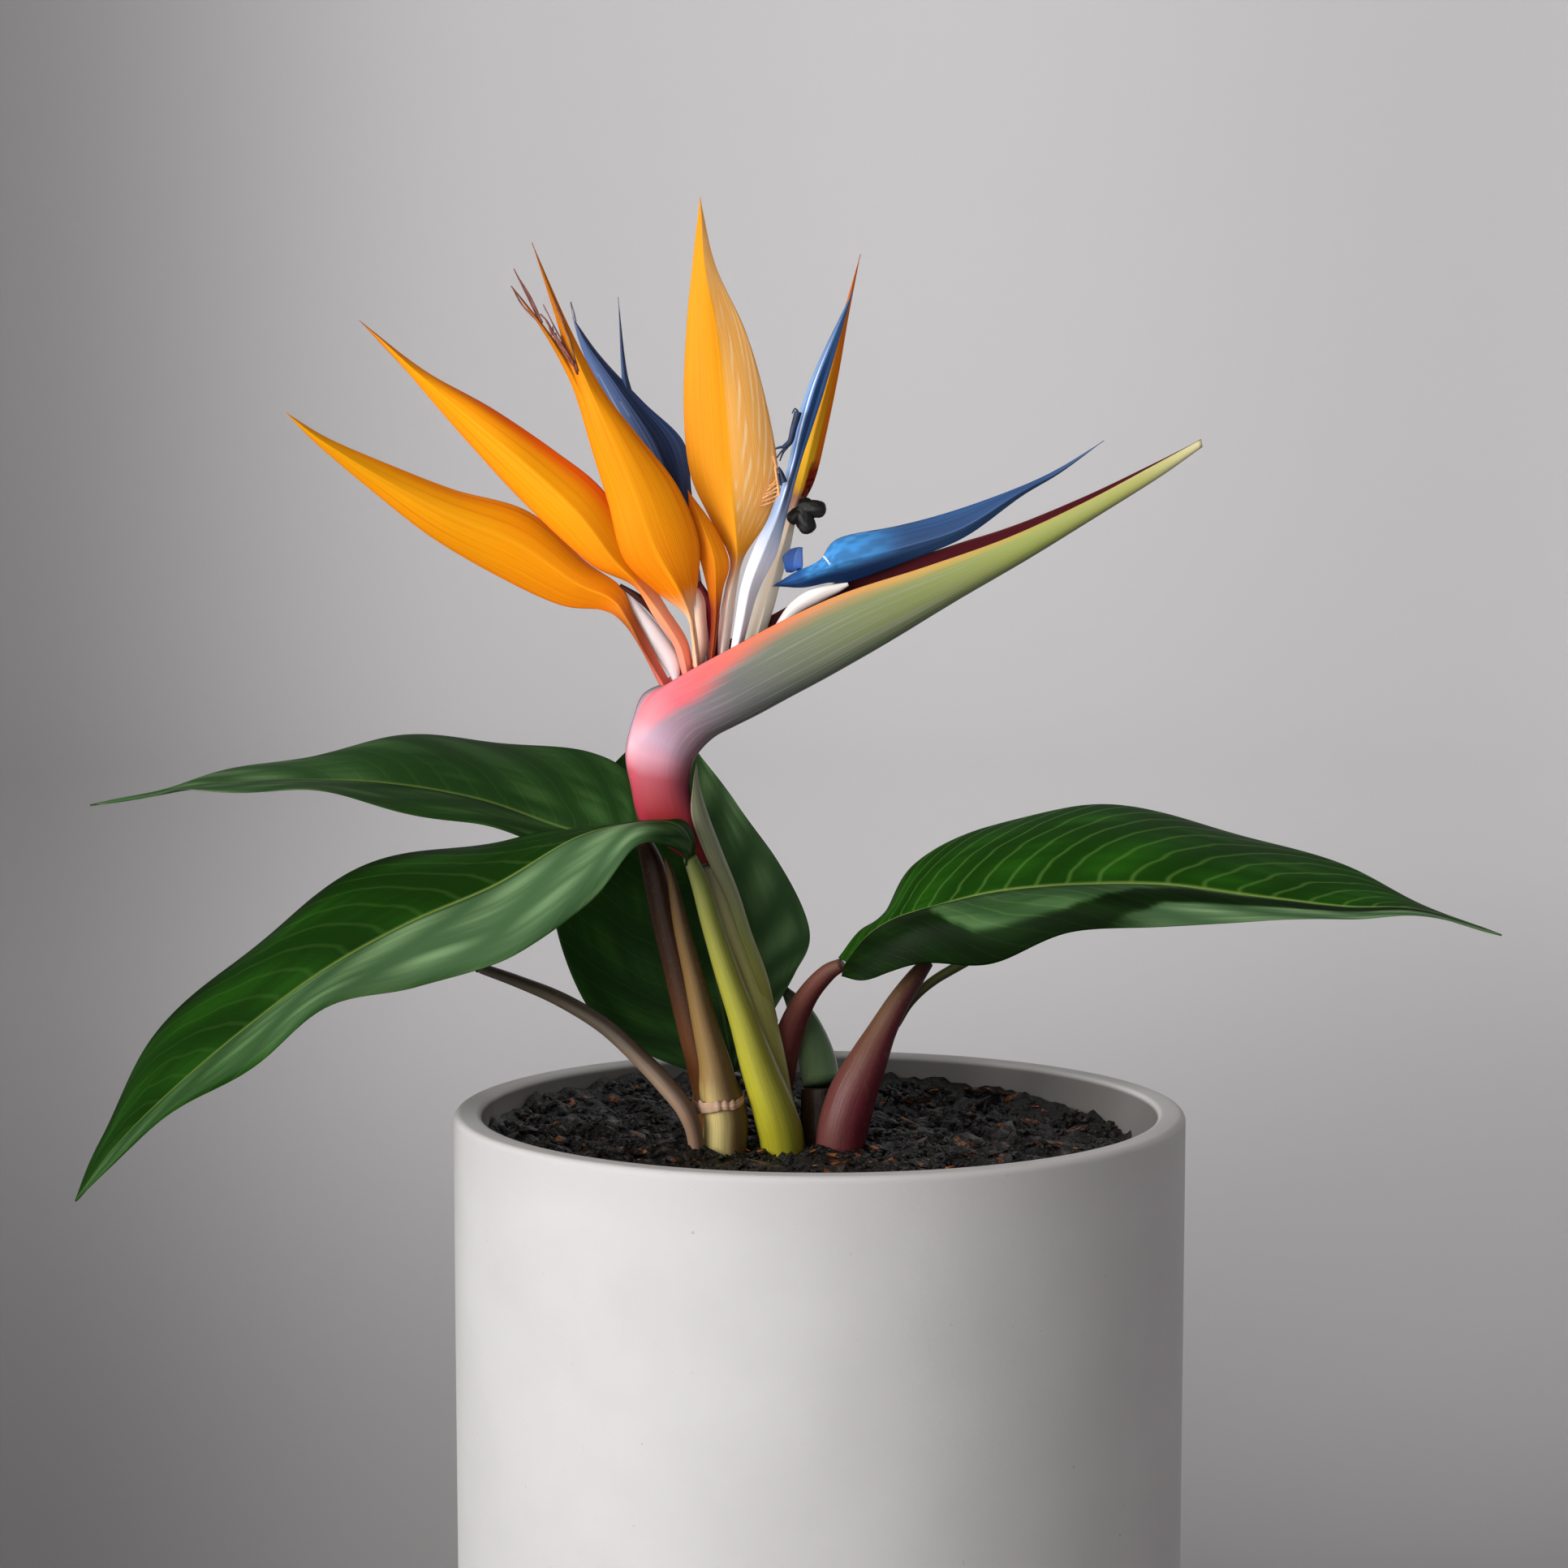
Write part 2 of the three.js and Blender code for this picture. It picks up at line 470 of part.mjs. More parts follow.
// Turns a closed surface's faces outwards.
function faceOut(geometry) {
  const p = geometry.getAttribute("position");
  const index = geometry.getIndex().array;
  const [a, b, c] = [0, 1, 2].map(() => new THREE.Vector3());
  let volume = 0;
  for (let i = 0; i < index.length; i += 3) {
    a.fromBufferAttribute(p, index[i]);
    b.fromBufferAttribute(p, index[i + 1]);
    c.fromBufferAttribute(p, index[i + 2]);
    volume += a.dot(b.cross(c));
  }
  if (volume < 0) {
    for (let i = 0; i < index.length; i += 3) {
      [index[i + 1], index[i + 2]] = [index[i + 2], index[i + 1]];
    }
  }
  return geometry;
}

// Blade on a curved midrib. Its middle surface joins left edge, midrib and
// right edge, each half arching by its row's rise, with a ripple towards the
// edges. Half the thickness lies on each side and the rib stands out below. A
// folded blade takes its thickness along the fold's own normal, so that the
// faces of its two halves don't cross.
function blade(rows, look) {
  const { steps, across, thick, claw, clawEnd, rib, wave, waves, grow, folded } = {
    ...{ steps: 16, across: [0.1, 0.5, 1], thick: 0.9, claw: 0.9, clawEnd: 0.3 },
    ...{ rib: 0, wave: 0, waves: 3, grow: 0, folded: false },
    ...look,
  };
  const flat = rows.map((row) => row.flat());
  const half = [...across].reverse().map((v) => -v);
  const lanes = [...half, 0, ...across];
  const step = 0.25 / steps;
  const way = [new THREE.Vector3(-1, 0, 0), new THREE.Vector3(1, 0, 0)];
  const middle = [];
  for (let i = 0; i <= steps; i++) {
    const u = i / steps;
    const row = spline(flat, u);
    const mid = vec(row, 3);
    const ahead = vec(spline(flat, Math.min(u + step, 1)), 3);
    const along = ahead.sub(vec(spline(flat, Math.max(u - step, 0)), 3)).normalize();
    const reach = [vec(row, 0).sub(mid), vec(row, 6).sub(mid)];
    reach.forEach((r, s) => {
      if (r.length() > TIP_HALF) way[s] = r.clone().normalize();
      else r.copy(way[s]).multiplyScalar(TIP_HALF);
      r.setLength(r.length() + grow);
    });
    if (i === 0) mid.addScaledVector(along, -grow);
    if (i === steps) mid.addScaledVector(along, grow);
    const up = [
      along.clone().cross(reach[0]).normalize(),
      reach[1].clone().cross(along).normalize(),
    ];
    middle.push(
      lanes.map((v) => {
        const s = v < 0 ? 0 : 1;
        const w = Math.abs(v);
        const swell = wave * Math.sin(Math.PI * u) * w * w;
        const ripple = swell * Math.sin(2 * Math.PI * waves * u + 2 * s);
        const rise = 4 * w * (1 - w) * row[9 + s] + ripple;
        return mid.clone().addScaledVector(reach[s], w).addScaledVector(up[s], rise);
      }),
    );
  }
  const rings = middle.map((line, i) => {
    const u = i / steps;
    const before = middle[Math.max(i - 1, 0)];
    const after = middle[Math.min(i + 1, steps)];
    const body = mix(claw, thick, ease(0, clawEnd, u));
    const normals = line.map((p, j) => {
      const side = line[Math.min(j + 1, lanes.length - 1)].clone();
      side.sub(line[Math.max(j - 1, 0)]);
      return side.cross(after[j].clone().sub(before[j])).normalize();
    });
    const spine = normals[across.length];
    const top = [];
    const bottom = [];
    line.forEach((p, j) => {
      const v = lanes[j];
      const out = folded ? spine : normals[j];
      const slant = folded ? Math.max(normals[j].dot(spine), STEEPEST) : 1;
      const t = (mix(EDGE, Math.max(body, EDGE), 1 - v * v) / 2 + grow) / slant;
      const stem = v === 0 ? mix(rib, rib * 0.15, u) : 0;
      top.push(p.clone().addScaledVector(out, t));
      bottom.push(p.clone().addScaledVector(out, -t - stem));
    });
    return [...top, ...bottom.reverse()];
  });
  return loft(rings);
}

// Round stem along an axis with a radius at each of its points, `flatten` times
// as thick along y as it is wide.
function stem(rows, look = {}) {
  const { steps, sides, grow, flatten } = {
    ...{ steps: 8, sides: SIDES, grow: 0, flatten: 1 },
    ...look,
  };
  const rings = [];
  let side = new THREE.Vector3(0, 1, 0);
  for (let i = 0; i <= steps; i++) {
    const u = i / steps;
    const row = spline(rows, u);
    const ahead = vec(spline(rows, Math.min(u + 0.02, 1)));
    const along = ahead.sub(vec(spline(rows, Math.max(u - 0.02, 0)))).normalize();
    side = side.addScaledVector(along, -side.dot(along)).normalize();
    const cross = along.clone().cross(side);
    const r = Math.max(row[3], 0.3) + grow;
    const centre = vec(row).addScaledVector(along, i === 0 ? -grow : i === steps ? grow : 0);
    const ring = [];
    for (let k = 0; k < sides; k++) {
      const a = (2 * Math.PI * (k + 0.5)) / sides;
      ring.push(
        centre
          .clone()
          .addScaledVector(side, r * flatten * Math.cos(a))
          .addScaledVector(cross, r * Math.sin(a)),
      );
    }
    rings.push(ring);
  }
  return loft(rings);
}

// Stem rows carried straight down into the soil.
function planted(rows) {
  const [x, y, z, r] = rows[0];
  return [[x, y, z - STEM_DEPTH, r * 0.8], ...rows];
}

// Solid from a closed geometry, for cutting and joining.
function solidOf(geometry) {
  const bare = new THREE.BufferGeometry();
  bare.setAttribute("position", geometry.getAttribute("position"));
  bare.setIndex(geometry.getIndex());
  const merged = mergeVertices(bare, 1e-3);
  return new wasm.Manifold(
    new wasm.Mesh({
      numProp: 3,
      vertProperties: merged.getAttribute("position").array,
      triVerts: new Uint32Array(merged.getIndex().array),
    }),
  );
}

// The largest connected body of a solid, as a geometry.
function geometryOf(solid) {
  const bodies = solid.decompose();
  bodies.sort((a, b) => b.volume() - a.volume());
  const mesh = bodies[0].simplify(0.02).getMesh();
  const geometry = new THREE.BufferGeometry();
  const position = new THREE.Float32BufferAttribute(mesh.vertProperties, 3);
  geometry.setAttribute("position", position);
  geometry.setIndex(Array.from(mesh.triVerts));
  return geometry;
}

// Numbers from 0 to 1 that are the same on each run.
function draws(seed) {
  let state = seed;
  return () => {
    state = (state * 1664525 + 1013904223) % 4294967296;
    return state / 4294967296;
  };
}

// Points of a quarter round from one angle to another, in degrees.
function arc(x, z, r, from, to, steps = 3) {
  return Array.from({ length: steps + 1 }, (_, i) => {
    const a = THREE.MathUtils.degToRad(mix(from, to, i / steps));
    return new THREE.Vector2(x + r * Math.cos(a), z + r * Math.sin(a));
  });
}

function turned(profile, sides) {
  const geometry = new THREE.LatheGeometry(profile, sides);
  geometry.deleteAttribute("normal");
  geometry.deleteAttribute("uv");
  return faceOut(mergeVertices(geometry.rotateX(Math.PI / 2), 1e-3));
}

function potSolid() {
  const profile = [
    new THREE.Vector2(0, 0),
    ...arc(POT_BASE_R - BASE_ROUND, BASE_ROUND, BASE_ROUND, -90, 0, 2),
    ...arc(POT_TOP_R - RIM_OUTER_ROUND, POT_HEIGHT - RIM_OUTER_ROUND, RIM_OUTER_ROUND, 0, 90),
    ...arc(POT_MOUTH_R + RIM_INNER_ROUND, POT_HEIGHT - RIM_INNER_ROUND, RIM_INNER_ROUND, 90, 180, 2),
    new THREE.Vector2(POT_INNER_R, POT_HEIGHT - TAPER_DEPTH),
    new THREE.Vector2(POT_INNER_R - 1, POT_FLOOR),
    new THREE.Vector2(0, POT_FLOOR),
  ];
  let pot = solidOf(turned(profile, POT_SIDES));
  for (let i = 0; i < DRAIN_COUNT; i++) {
    const a = (2 * Math.PI * i) / DRAIN_COUNT + Math.PI / 2;
    const hole = new THREE.CylinderGeometry(DRAIN_R, DRAIN_R, POT_FLOOR + 4, 20);
    hole.rotateX(Math.PI / 2);
    hole.translate(DRAIN_CIRCLE_R * Math.cos(a), DRAIN_CIRCLE_R * Math.sin(a), POT_FLOOR / 2);
    pot = pot.subtract(solidOf(hole));
  }
  return pot;
}

// Height of the soil's top, banked up against the wall at the back and left,
// with shallow lumps.
function soilHeight(x, y) {
  const r = Math.hypot(x, y) / POT_INNER_R;
  const bank = SOIL_BANK * r * (0.5 * r + (0.5 * y - 0.35 * x) / POT_INNER_R);
  const wave = Math.sin(0.13 * x + 1.7) * Math.cos(0.11 * y);
  const lump = wave + 0.6 * Math.sin(0.31 * x + 0.23 * y);
  return SOIL_LEVEL + bank + SOIL_LUMP * lump;
}

// Radius inside which the soil lies at a height.
function soilRadius(z) {
  const knee = POT_HEIGHT - TAPER_DEPTH;
  const wide = (POT_MOUTH_R - POT_INNER_R) / (TAPER_DEPTH - RIM_INNER_ROUND);
  const wall = z < knee ? POT_INNER_R + (z - knee) / (knee - POT_FLOOR) : POT_INNER_R + (z - knee) * wide;
  return (wall - GAP) * Math.cos(Math.PI / POT_SIDES);
}

function soilSolid(cuts) {
  const floor = POT_FLOOR + GAP;
  const knee = POT_HEIGHT - TAPER_DEPTH;
  const angles = Array.from({ length: SOIL_SIDES }, (_, k) => (2 * Math.PI * k) / SOIL_SIDES);
  const point = (r, a, z) => new THREE.Vector3(r * Math.cos(a), r * Math.sin(a), z);
  const top = (r, a) => point(r, a, soilHeight(r * Math.cos(a), r * Math.sin(a)));
  const edge = angles.map((a) => {
    const first = top(soilRadius(SOIL_LEVEL), a);
    return soilRadius(first.z);
  });
  const rings = [
    angles.map((a) => point(0.5, a, floor)),
    angles.map((a) => point(soilRadius(floor), a, floor)),
    angles.map((a) => point(soilRadius(knee), a, knee)),
  ];
  for (let i = SOIL_RINGS; i >= 0; i--) {
    const share = Math.max(i / SOIL_RINGS, 0.005);
    rings.push(angles.map((a, k) => top(edge[k] * share, a)));
  }
  let soil = solidOf(loft(rings));
  const draw = draws(CHIP_SEED);
  for (let i = 0; i < CHIP_COUNT; i++) {
    const r = (POT_INNER_R - 12) * Math.sqrt(draw());
    const a = 2 * Math.PI * draw();
    const chip = new THREE.BoxGeometry(mix(5, 13, draw()), mix(3, 6, draw()), mix(2, 4, draw()));
    chip.deleteAttribute("normal");
    chip.deleteAttribute("uv");
    chip.rotateY(mix(-0.4, 0.4, draw()));
    chip.rotateX(mix(-0.4, 0.4, draw()));
    chip.rotateZ(Math.PI * draw());
    const x = r * Math.cos(a);
    const y = r * Math.sin(a);
    chip.translate(x, y, soilHeight(x, y) + mix(-0.5, 0.8, draw()));
    soil = soil.add(solidOf(chip));
  }
  return cuts.reduce((rest, cut) => rest.subtract(cut), soil);
}

function rhizomeSolid(grow) {
  let body = solidOf(stem(CROWN, { steps: 6, sides: 8, grow }));
  body = body.add(solidOf(stem(CROWN_BACK, { steps: 4, sides: 8, grow })));
  const draw = draws(CHIP_SEED + 1);
  for (let i = 0; i < ROOT_COUNT; i++) {
    const a = (2 * Math.PI * (i + 0.6 * draw())) / ROOT_COUNT;
    const reach = ROOT_REACH * mix(0.75, 1, draw());
    const drop = ROOT_DROP * mix(0.6, 1, draw());
    const [x, y, z] = ROOT_START;
    const rows = [0, 0.3, 0.65, 1].map((t) => [
      x + Math.cos(a) * reach * Math.sqrt(t),
      y + Math.sin(a) * reach * Math.sqrt(t) * 0.8,
      z - drop * t * t,
      mix(ROOT_R, ROOT_R * 0.4, t),
    ]);
    body = body.add(solidOf(stem(rows, { steps: 5, sides: 5, grow })));
  }
  return body;
}

// Boat-shaped bract on its bent neck. The outer wall is an arc round the keel,
// closed over in the neck, and the inner wall sinks to a groove in the boat.
function spatheRings(steps, points) {
  const rings = [];
  for (let i = 0; i <= steps; i++) {
    const [tx, tz, kx, kz, y, w, wrap, groove, wall] = spline(SPATHE, i / steps);
    const top = new THREE.Vector3(tx, y, tz);
    const keel = new THREE.Vector3(kx, y, kz);
    const up = top.clone().sub(keel);
    const height = up.length();
    up.normalize();
    const lift = FAR_EDGE_RISE * groove * Math.min(height / 12, 1);
    const at = (angle, shrink, floor) => {
      const q = angle / wrap;
      const h = (height * (1 - Math.cos(angle))) / (1 - Math.cos(wrap));
      const sunk = mix(h, height - (height - h) * (1 - floor / height), shrink);
      const s = w * Math.sin(angle) * (1 - (shrink * floor) / w);
      const rise = q > 0 ? lift * q ** 4 : 0;
      return keel.clone().addScaledVector(up, sunk + rise).add(new THREE.Vector3(0, s, 0));
    };
    const ring = [];
    for (let k = 0; k < points; k++) ring.push(at(mix(-wrap, wrap, k / (points - 1)), 0, wall));
    for (let k = points - 1; k >= 0; k--) {
      const q = mix(-1, 1, k / (points - 1));
      const angle = q * wrap;
      const deep = at(angle, 1, wall);
      const cap = Math.PI - (Math.PI - wrap) * Math.abs(q);
      const h = (height * (1 - Math.cos(cap))) / (1 - Math.cos(wrap));
      const closed = keel.clone().addScaledVector(up, h);
      closed.y += (w - wall) * Math.sin(cap) * Math.sign(q);
      const edge = at(Math.sign(q) * wrap, 1, wall);
      const shut = edge.lerp(closed, 1 - q * q);
      ring.push(shut.lerp(deep, groove));
    }
    rings.push(ring);
  }
  return rings;
}

// Dry papery collar wrapped round the tan sheath, with ragged edges.
function collarRows() {
  const rows = [];
  const turns = 13;
  for (let i = 0; i <= turns; i++) {
    const a = mix(-3.6, 1.0, i / turns);
    const low = 226 + 0.9 * Math.sin(3.1 * i) + 0.4 * i * 0.5;
    const high = 231 + 1.1 * Math.sin(2.3 * i + 1) + 0.3 * i * 0.5;
    const ring = (z) => {
      const [x, y, , r] = spline(SHEATH_TAN, (z - 206) / 105);
      const out = r + 1.4;
      return [x + out * Math.cos(a), y + out * Math.sin(a), z];
    };
    rows.push([ring(low), ring((low + high) / 2), ring(high), 0, 0]);
  }
  return rows;
}

function witheredLobe() {
  const lobes = [
    [[-7, 21, 427], [1, 20.5, 425.5], 2.3],
    [[-6.5, 21, 426.5], [-3.5, 20.5, 419], 2.4],
    [[-4, 21, 426], [-9.5, 20.5, 422.5], 1.9],
    [[-4.5, 21, 425], [-3.5, 21.5, 431], 2],
  ];
  const solids = lobes.map(([from, to, r]) => {
    const rows = [0, 0.25, 0.6, 1].map((t) => [
      ...from.map((c, n) => mix(c, to[n], t)),
      r * [0.5, 0.8, 1, 0.45][Math.round(t * 3)],
    ]);
    return solidOf(stem(rows, { steps: 4, sides: 6, flatten: 0.6 }));
  });
  return solids.reduce((a, b) => a.add(b));
}

const LEAF_LOOK = { steps: 18, across: [0.09, 0.4, 0.72, 1], thick: 0.9, rib: 2.2 };
const LEAF_B_LOOK = { ...LEAF_LOOK, steps: 21, wave: 2, waves: 5 };
const LEAF_C_LOOK = { steps: 14, wave: -1.5, waves: 3, folded: true };
const HIDDEN_LOOK = { steps: 12, across: [0.1, 0.55, 1], folded: true };
const PRONG_LOOK = { steps: 5, across: [1], folded: true };
const CLAW_LOOK = { steps: 13, claw: 3, clawEnd: 0.34, thick: 1.1, folded: true };

const plant = {
  flower_stalk: planted(FLOWER_STALK),
  petiole_a: planted(PETIOLE_A),
  petiole_b: planted(PETIOLE_B),
  petiole_c: planted(PETIOLE_C),
  petiole_d: planted(PETIOLE_D),
  petiole_f: planted(PETIOLE_F),
  petiole_g: planted(PETIOLE_G),
  sheath_tan: planted(SHEATH_TAN),
  old_leaf_base: planted(OLD_LEAF_BASE),
};
const stemCuts = Object.values(plant).map((rows) => solidOf(stem(rows, { steps: 9, grow: GAP })));
const rhizome = stemCuts.reduce((rest, cut) => rest.subtract(cut), rhizomeSolid(0));

// A solid cut back by GAP from neighbours that were made before it.
function clearOf(geometry, cuts) {
  return geometryOf(cuts.reduce((rest, cut) => rest.subtract(cut), solidOf(geometry)));
}

const CLAWS = {
  sepal_1: [SEPAL_1, CLAW_LOOK],
  sepal_2: [SEPAL_2, CLAW_LOOK],
  sepal_3: [SEPAL_3, CLAW_LOOK],
  sepal_4: [SEPAL_4, CLAW_LOOK],
  sepal_5: [SEPAL_5, { ...CLAW_LOOK, claw: 4 }],
  sepal_6: [SEPAL_6, { ...CLAW_LOOK, steps: 10, claw: 2 }],
  petal_blue_1: [PETAL_1, { ...CLAW_LOOK, steps: 11, claw: 2.4 }],
  petal_blue_2: [PETAL_2, { ...CLAW_LOOK, claw: 3 }],
};
const BRACTS = {
  bract_white: BRACT_WHITE,
  bract_brown: BRACT_BROWN,
  bract_cream: BRACT_CREAM,
  bract_maroon: BRACT_MAROON,
  claw_white: CLAW_WHITE,
};

const group = new THREE.Group();

function place(name, geometry, color, roughness) {
  const material = new THREE.MeshStandardMaterial({ color, roughness, metalness: 0 });
  const mesh = new THREE.Mesh(geometry, material);
  mesh.name = name;
  group.add(mesh);
}

place("pot", geometryOf(potSolid()), 0xd2cfcc, 0.55);
place("soil", geometryOf(soilSolid([...stemCuts, rhizomeSolid(GAP)])), 0x1c1714, 0.95);
place("rhizome_roots", geometryOf(rhizome), 0xb89468, 0.8);

place("flower_stalk", stem(plant.flower_stalk, { steps: 9 }), 0x6d6b3c, 0.45);
place("stalk_bract", blade(STALK_BRACT, { steps: 14, across: [0.5, 1], thick: 0.8 }), 0x7a8267, 0.5);
place("petiole_a", stem(plant.petiole_a, { steps: 9 }), 0x3b2114, 0.45);
place(
  "petiole_b",
  clearOf(stem(plant.petiole_b, { steps: 9 }), [solidOf(blade(LEAF_B, { ...LEAF_B_LOOK, grow: GAP }))]),
  0x8f8c2c,
  0.45,
);
place("petiole_c", stem(plant.petiole_c, { steps: 4 }), 0x4c6a3a, 0.5);
place("petiole_d", stem(plant.petiole_d, { steps: 9 }), 0x52292b, 0.5);
place("petiole_f", stem(plant.petiole_f, { steps: 9 }), 0x6e3136, 0.5);
place("petiole_g", stem(plant.petiole_g, { steps: 9 }), 0x75624f, 0.5);
place("sheath_tan", stem(plant.sheath_tan, { steps: 10 }), 0x8f7a45, 0.5);
place("old_leaf_base", stem(plant.old_leaf_base, { steps: 3 }), 0x2a1d17, 0.9);
place("sheath_green", stem(SHEATH_GREEN, { steps: 6, flatten: 0.8 }), 0x3f5a3c, 0.5);
place("young_leaf", stem(YOUNG_LEAF, { steps: 9, sides: 8 }), 0x4d6130, 0.5);
place("dry_sheath", blade(collarRows(), { steps: 22, across: [1], thick: 0.8 }), 0xa98260, 0.8);

place("leaf_a", blade(LEAF_A, { ...LEAF_LOOK, wave: 1.5, waves: 4 }), 0x24361e, 0.4);
place("leaf_b", blade(LEAF_B, LEAF_B_LOOK), 0x2c4a2c, 0.4);
place("leaf_c", blade(LEAF_C, { ...LEAF_LOOK, ...LEAF_C_LOOK }), 0x213f24, 0.4);
place("leaf_d", blade(LEAF_D, { ...LEAF_LOOK, steps: 20, wave: 1.5, waves: 4 }), 0x1f420e, 0.4);
place("leaf_f", blade(LEAF_F, { ...LEAF_LOOK, ...HIDDEN_LOOK }), 0x24461c, 0.4);
place("leaf_g", blade(LEAF_G, { ...LEAF_LOOK, ...HIDDEN_LOOK }), 0x24461c, 0.4);

const grown = [];
for (const [name, [rows, look]] of Object.entries(CLAWS)) {
  const blue = name.startsWith("petal");
  let solid = solidOf(blade(rows, look));
  if (name === "sepal_3") {
    solid = solid.add(solidOf(blade(SEPAL_3_PRONG, PRONG_LOOK)));
  }
  if (name === "petal_blue_1") {
    solid = solid.add(solidOf(blade(PETAL_1_PRONG, PRONG_LOOK)));
  }
  place(name, geometryOf(solid), blue ? 0x3a5074 : 0xee8a08, 0.45);
  grown.push(solidOf(blade(rows, { ...look, grow: GAP })));
}
const arrow = blade(PETAL_3, { ...CLAW_LOOK, claw: 1.4 });
const [, , , , fifth] = grown;
place("petal_blue_3", clearOf(arrow, [fifth]), 0x1f5c92, 0.4);
grown.push(solidOf(blade(PETAL_3, { ...CLAW_LOOK, claw: 1.4, grow: GAP })));
place("petal_scrap", blade(PETAL_SCRAP, { steps: 4, across: [0.5, 1], folded: true }), 0x2c5a9a, 0.4);
place("withered_lobe", geometryOf(witheredLobe().subtract(fifth)), 0x17160f, 0.7);

const bractColors = [0xdcd0d2, 0x3c1610, 0xe8b79a, 0x6e1020, 0xe0d6d0];
Object.entries(BRACTS).forEach(([name, rows], i) => {
  const look = { steps: 7, sides: 8, flatten: 0.8 };
  place(name, clearOf(stem(rows, look), grown), bractColors[i], 0.5);
  grown.push(solidOf(stem(rows, { ...look, grow: GAP })));
});
place("spathe", clearOf(loft(spatheRings(23, 10)), grown), 0x6f7568, 0.45);

export default group;
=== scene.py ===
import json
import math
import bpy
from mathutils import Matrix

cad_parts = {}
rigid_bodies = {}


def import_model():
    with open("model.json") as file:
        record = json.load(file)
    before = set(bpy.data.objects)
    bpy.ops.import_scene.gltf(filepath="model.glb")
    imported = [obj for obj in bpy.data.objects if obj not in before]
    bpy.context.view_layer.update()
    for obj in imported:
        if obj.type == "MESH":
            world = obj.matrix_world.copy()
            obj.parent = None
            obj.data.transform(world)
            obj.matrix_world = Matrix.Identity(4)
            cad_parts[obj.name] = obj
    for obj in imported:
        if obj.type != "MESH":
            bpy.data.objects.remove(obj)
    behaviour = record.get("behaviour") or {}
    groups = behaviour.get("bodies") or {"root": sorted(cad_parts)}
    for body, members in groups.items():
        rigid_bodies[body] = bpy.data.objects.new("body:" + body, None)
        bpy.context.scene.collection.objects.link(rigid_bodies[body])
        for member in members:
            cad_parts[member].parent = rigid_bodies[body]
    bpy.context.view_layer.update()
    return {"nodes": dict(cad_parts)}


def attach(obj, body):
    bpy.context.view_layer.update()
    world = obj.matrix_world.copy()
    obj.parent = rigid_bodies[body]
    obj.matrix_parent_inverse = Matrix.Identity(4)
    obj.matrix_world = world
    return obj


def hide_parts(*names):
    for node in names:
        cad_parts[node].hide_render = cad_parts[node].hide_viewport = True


bl_info = {
    "name": "Potted bird of paradise",
    "version": (1, 0, 0),
    "blender": (4, 5, 0),
    "location": "View3D > Sidebar > Plant",
    "description": "Builds the finished plant, pot and studio on the part's CAD frame",
    "category": "Object",
}

import bpy
import numpy as np
from bpy.props import FloatProperty, FloatVectorProperty, IntProperty, PointerProperty
from mathutils import Vector

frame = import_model()

MM = 0.001

# Least sizes in millimetres: a blade's edge, half a blade's width at its tip, and a stem's radius
EDGE = 0.3
TIP_HALF = 0.15
THINNEST = 0.15
# Least cosine between a folded blade's face and its spine
STEEPEST = 0.3

# Sizes of pot and soil in millimetres
POT_HEIGHT = 230
POT_TOP_R = 120
POT_BASE_R = 119
POT_MOUTH_R = 110.8
POT_INNER_R = 103
POT_FLOOR = 14
FLOOR_ROUND = 6
TAPER_DEPTH = 24
RIM_INNER_ROUND = 2
DRAIN_COUNT = 3
DRAIN_SIDES = 48
DRILL_PAST = 5
POT_WOBBLE = 0.1
SOIL_LEVEL = 213.5
SOIL_FOOT = 208.5
SOIL_BANK = 9
SOIL_LUMP = 1.2
SOIL_GAP = 1.8
CRUMB_GAP = 2.5
STEM_DEPTH = 24
FAR_EDGE_RISE = 4

# Side veins of a leaf: how many, how far they sweep towards the tip, and how strongly they bend
VEIN_COUNT = 26
VEIN_SWEEP = 5
VEIN_BEND = 1.35
# Share of a petal's length that is its claw
CLAW_END = 0.34

# The papery collar: rows, first angle and sweep in radians, and its lowest edge in millimetres, on a tan
# sheath that is taken to start at one height and to rise by another
COLLAR_ROWS = 60
COLLAR_START = -3.7
COLLAR_SWEEP = 4.9
COLLAR_LOW = 224.8
SHEATH_FOOT = 206
SHEATH_RISE = 105

# Rings along a stem and points round it, rings along a blade and lanes across half of it, rings along the
# spathe and points across each of its walls, and rings out from the soil's middle and points round them
STEM_GRID = (110, 44)
HAIR_GRID = (24, 8)
BRACT_GRID = (90, 36)
LOBE_GRID = (30, 30)
SPATHE_GRID = (200, 72)
CLASP_GRID = (110, 16)
COLLAR_GRID = (180, 8)
SOIL_GRID = (105, 250)

# Studio, in metres: the paper's flat radius, its curve's radius and its top, the camera's place and what
# the lights aim at. The camera's dip is in degrees and its sensor's width in millimetres.
PAPER_FLAT = 3.2
PAPER_CURVE = 2
PAPER_TOP = 5.2
PAPER_SIDES = 96
CAMERA_PLACE = (-0.0116, -1.6743, 0.5243)
CAMERA_DIP = 6.37
SENSOR = 36
AIM = (0, 0, 0.3)
WALL_AIM = (1.5, 4.7, 0.4)
WORLD_LIGHT = 0.085

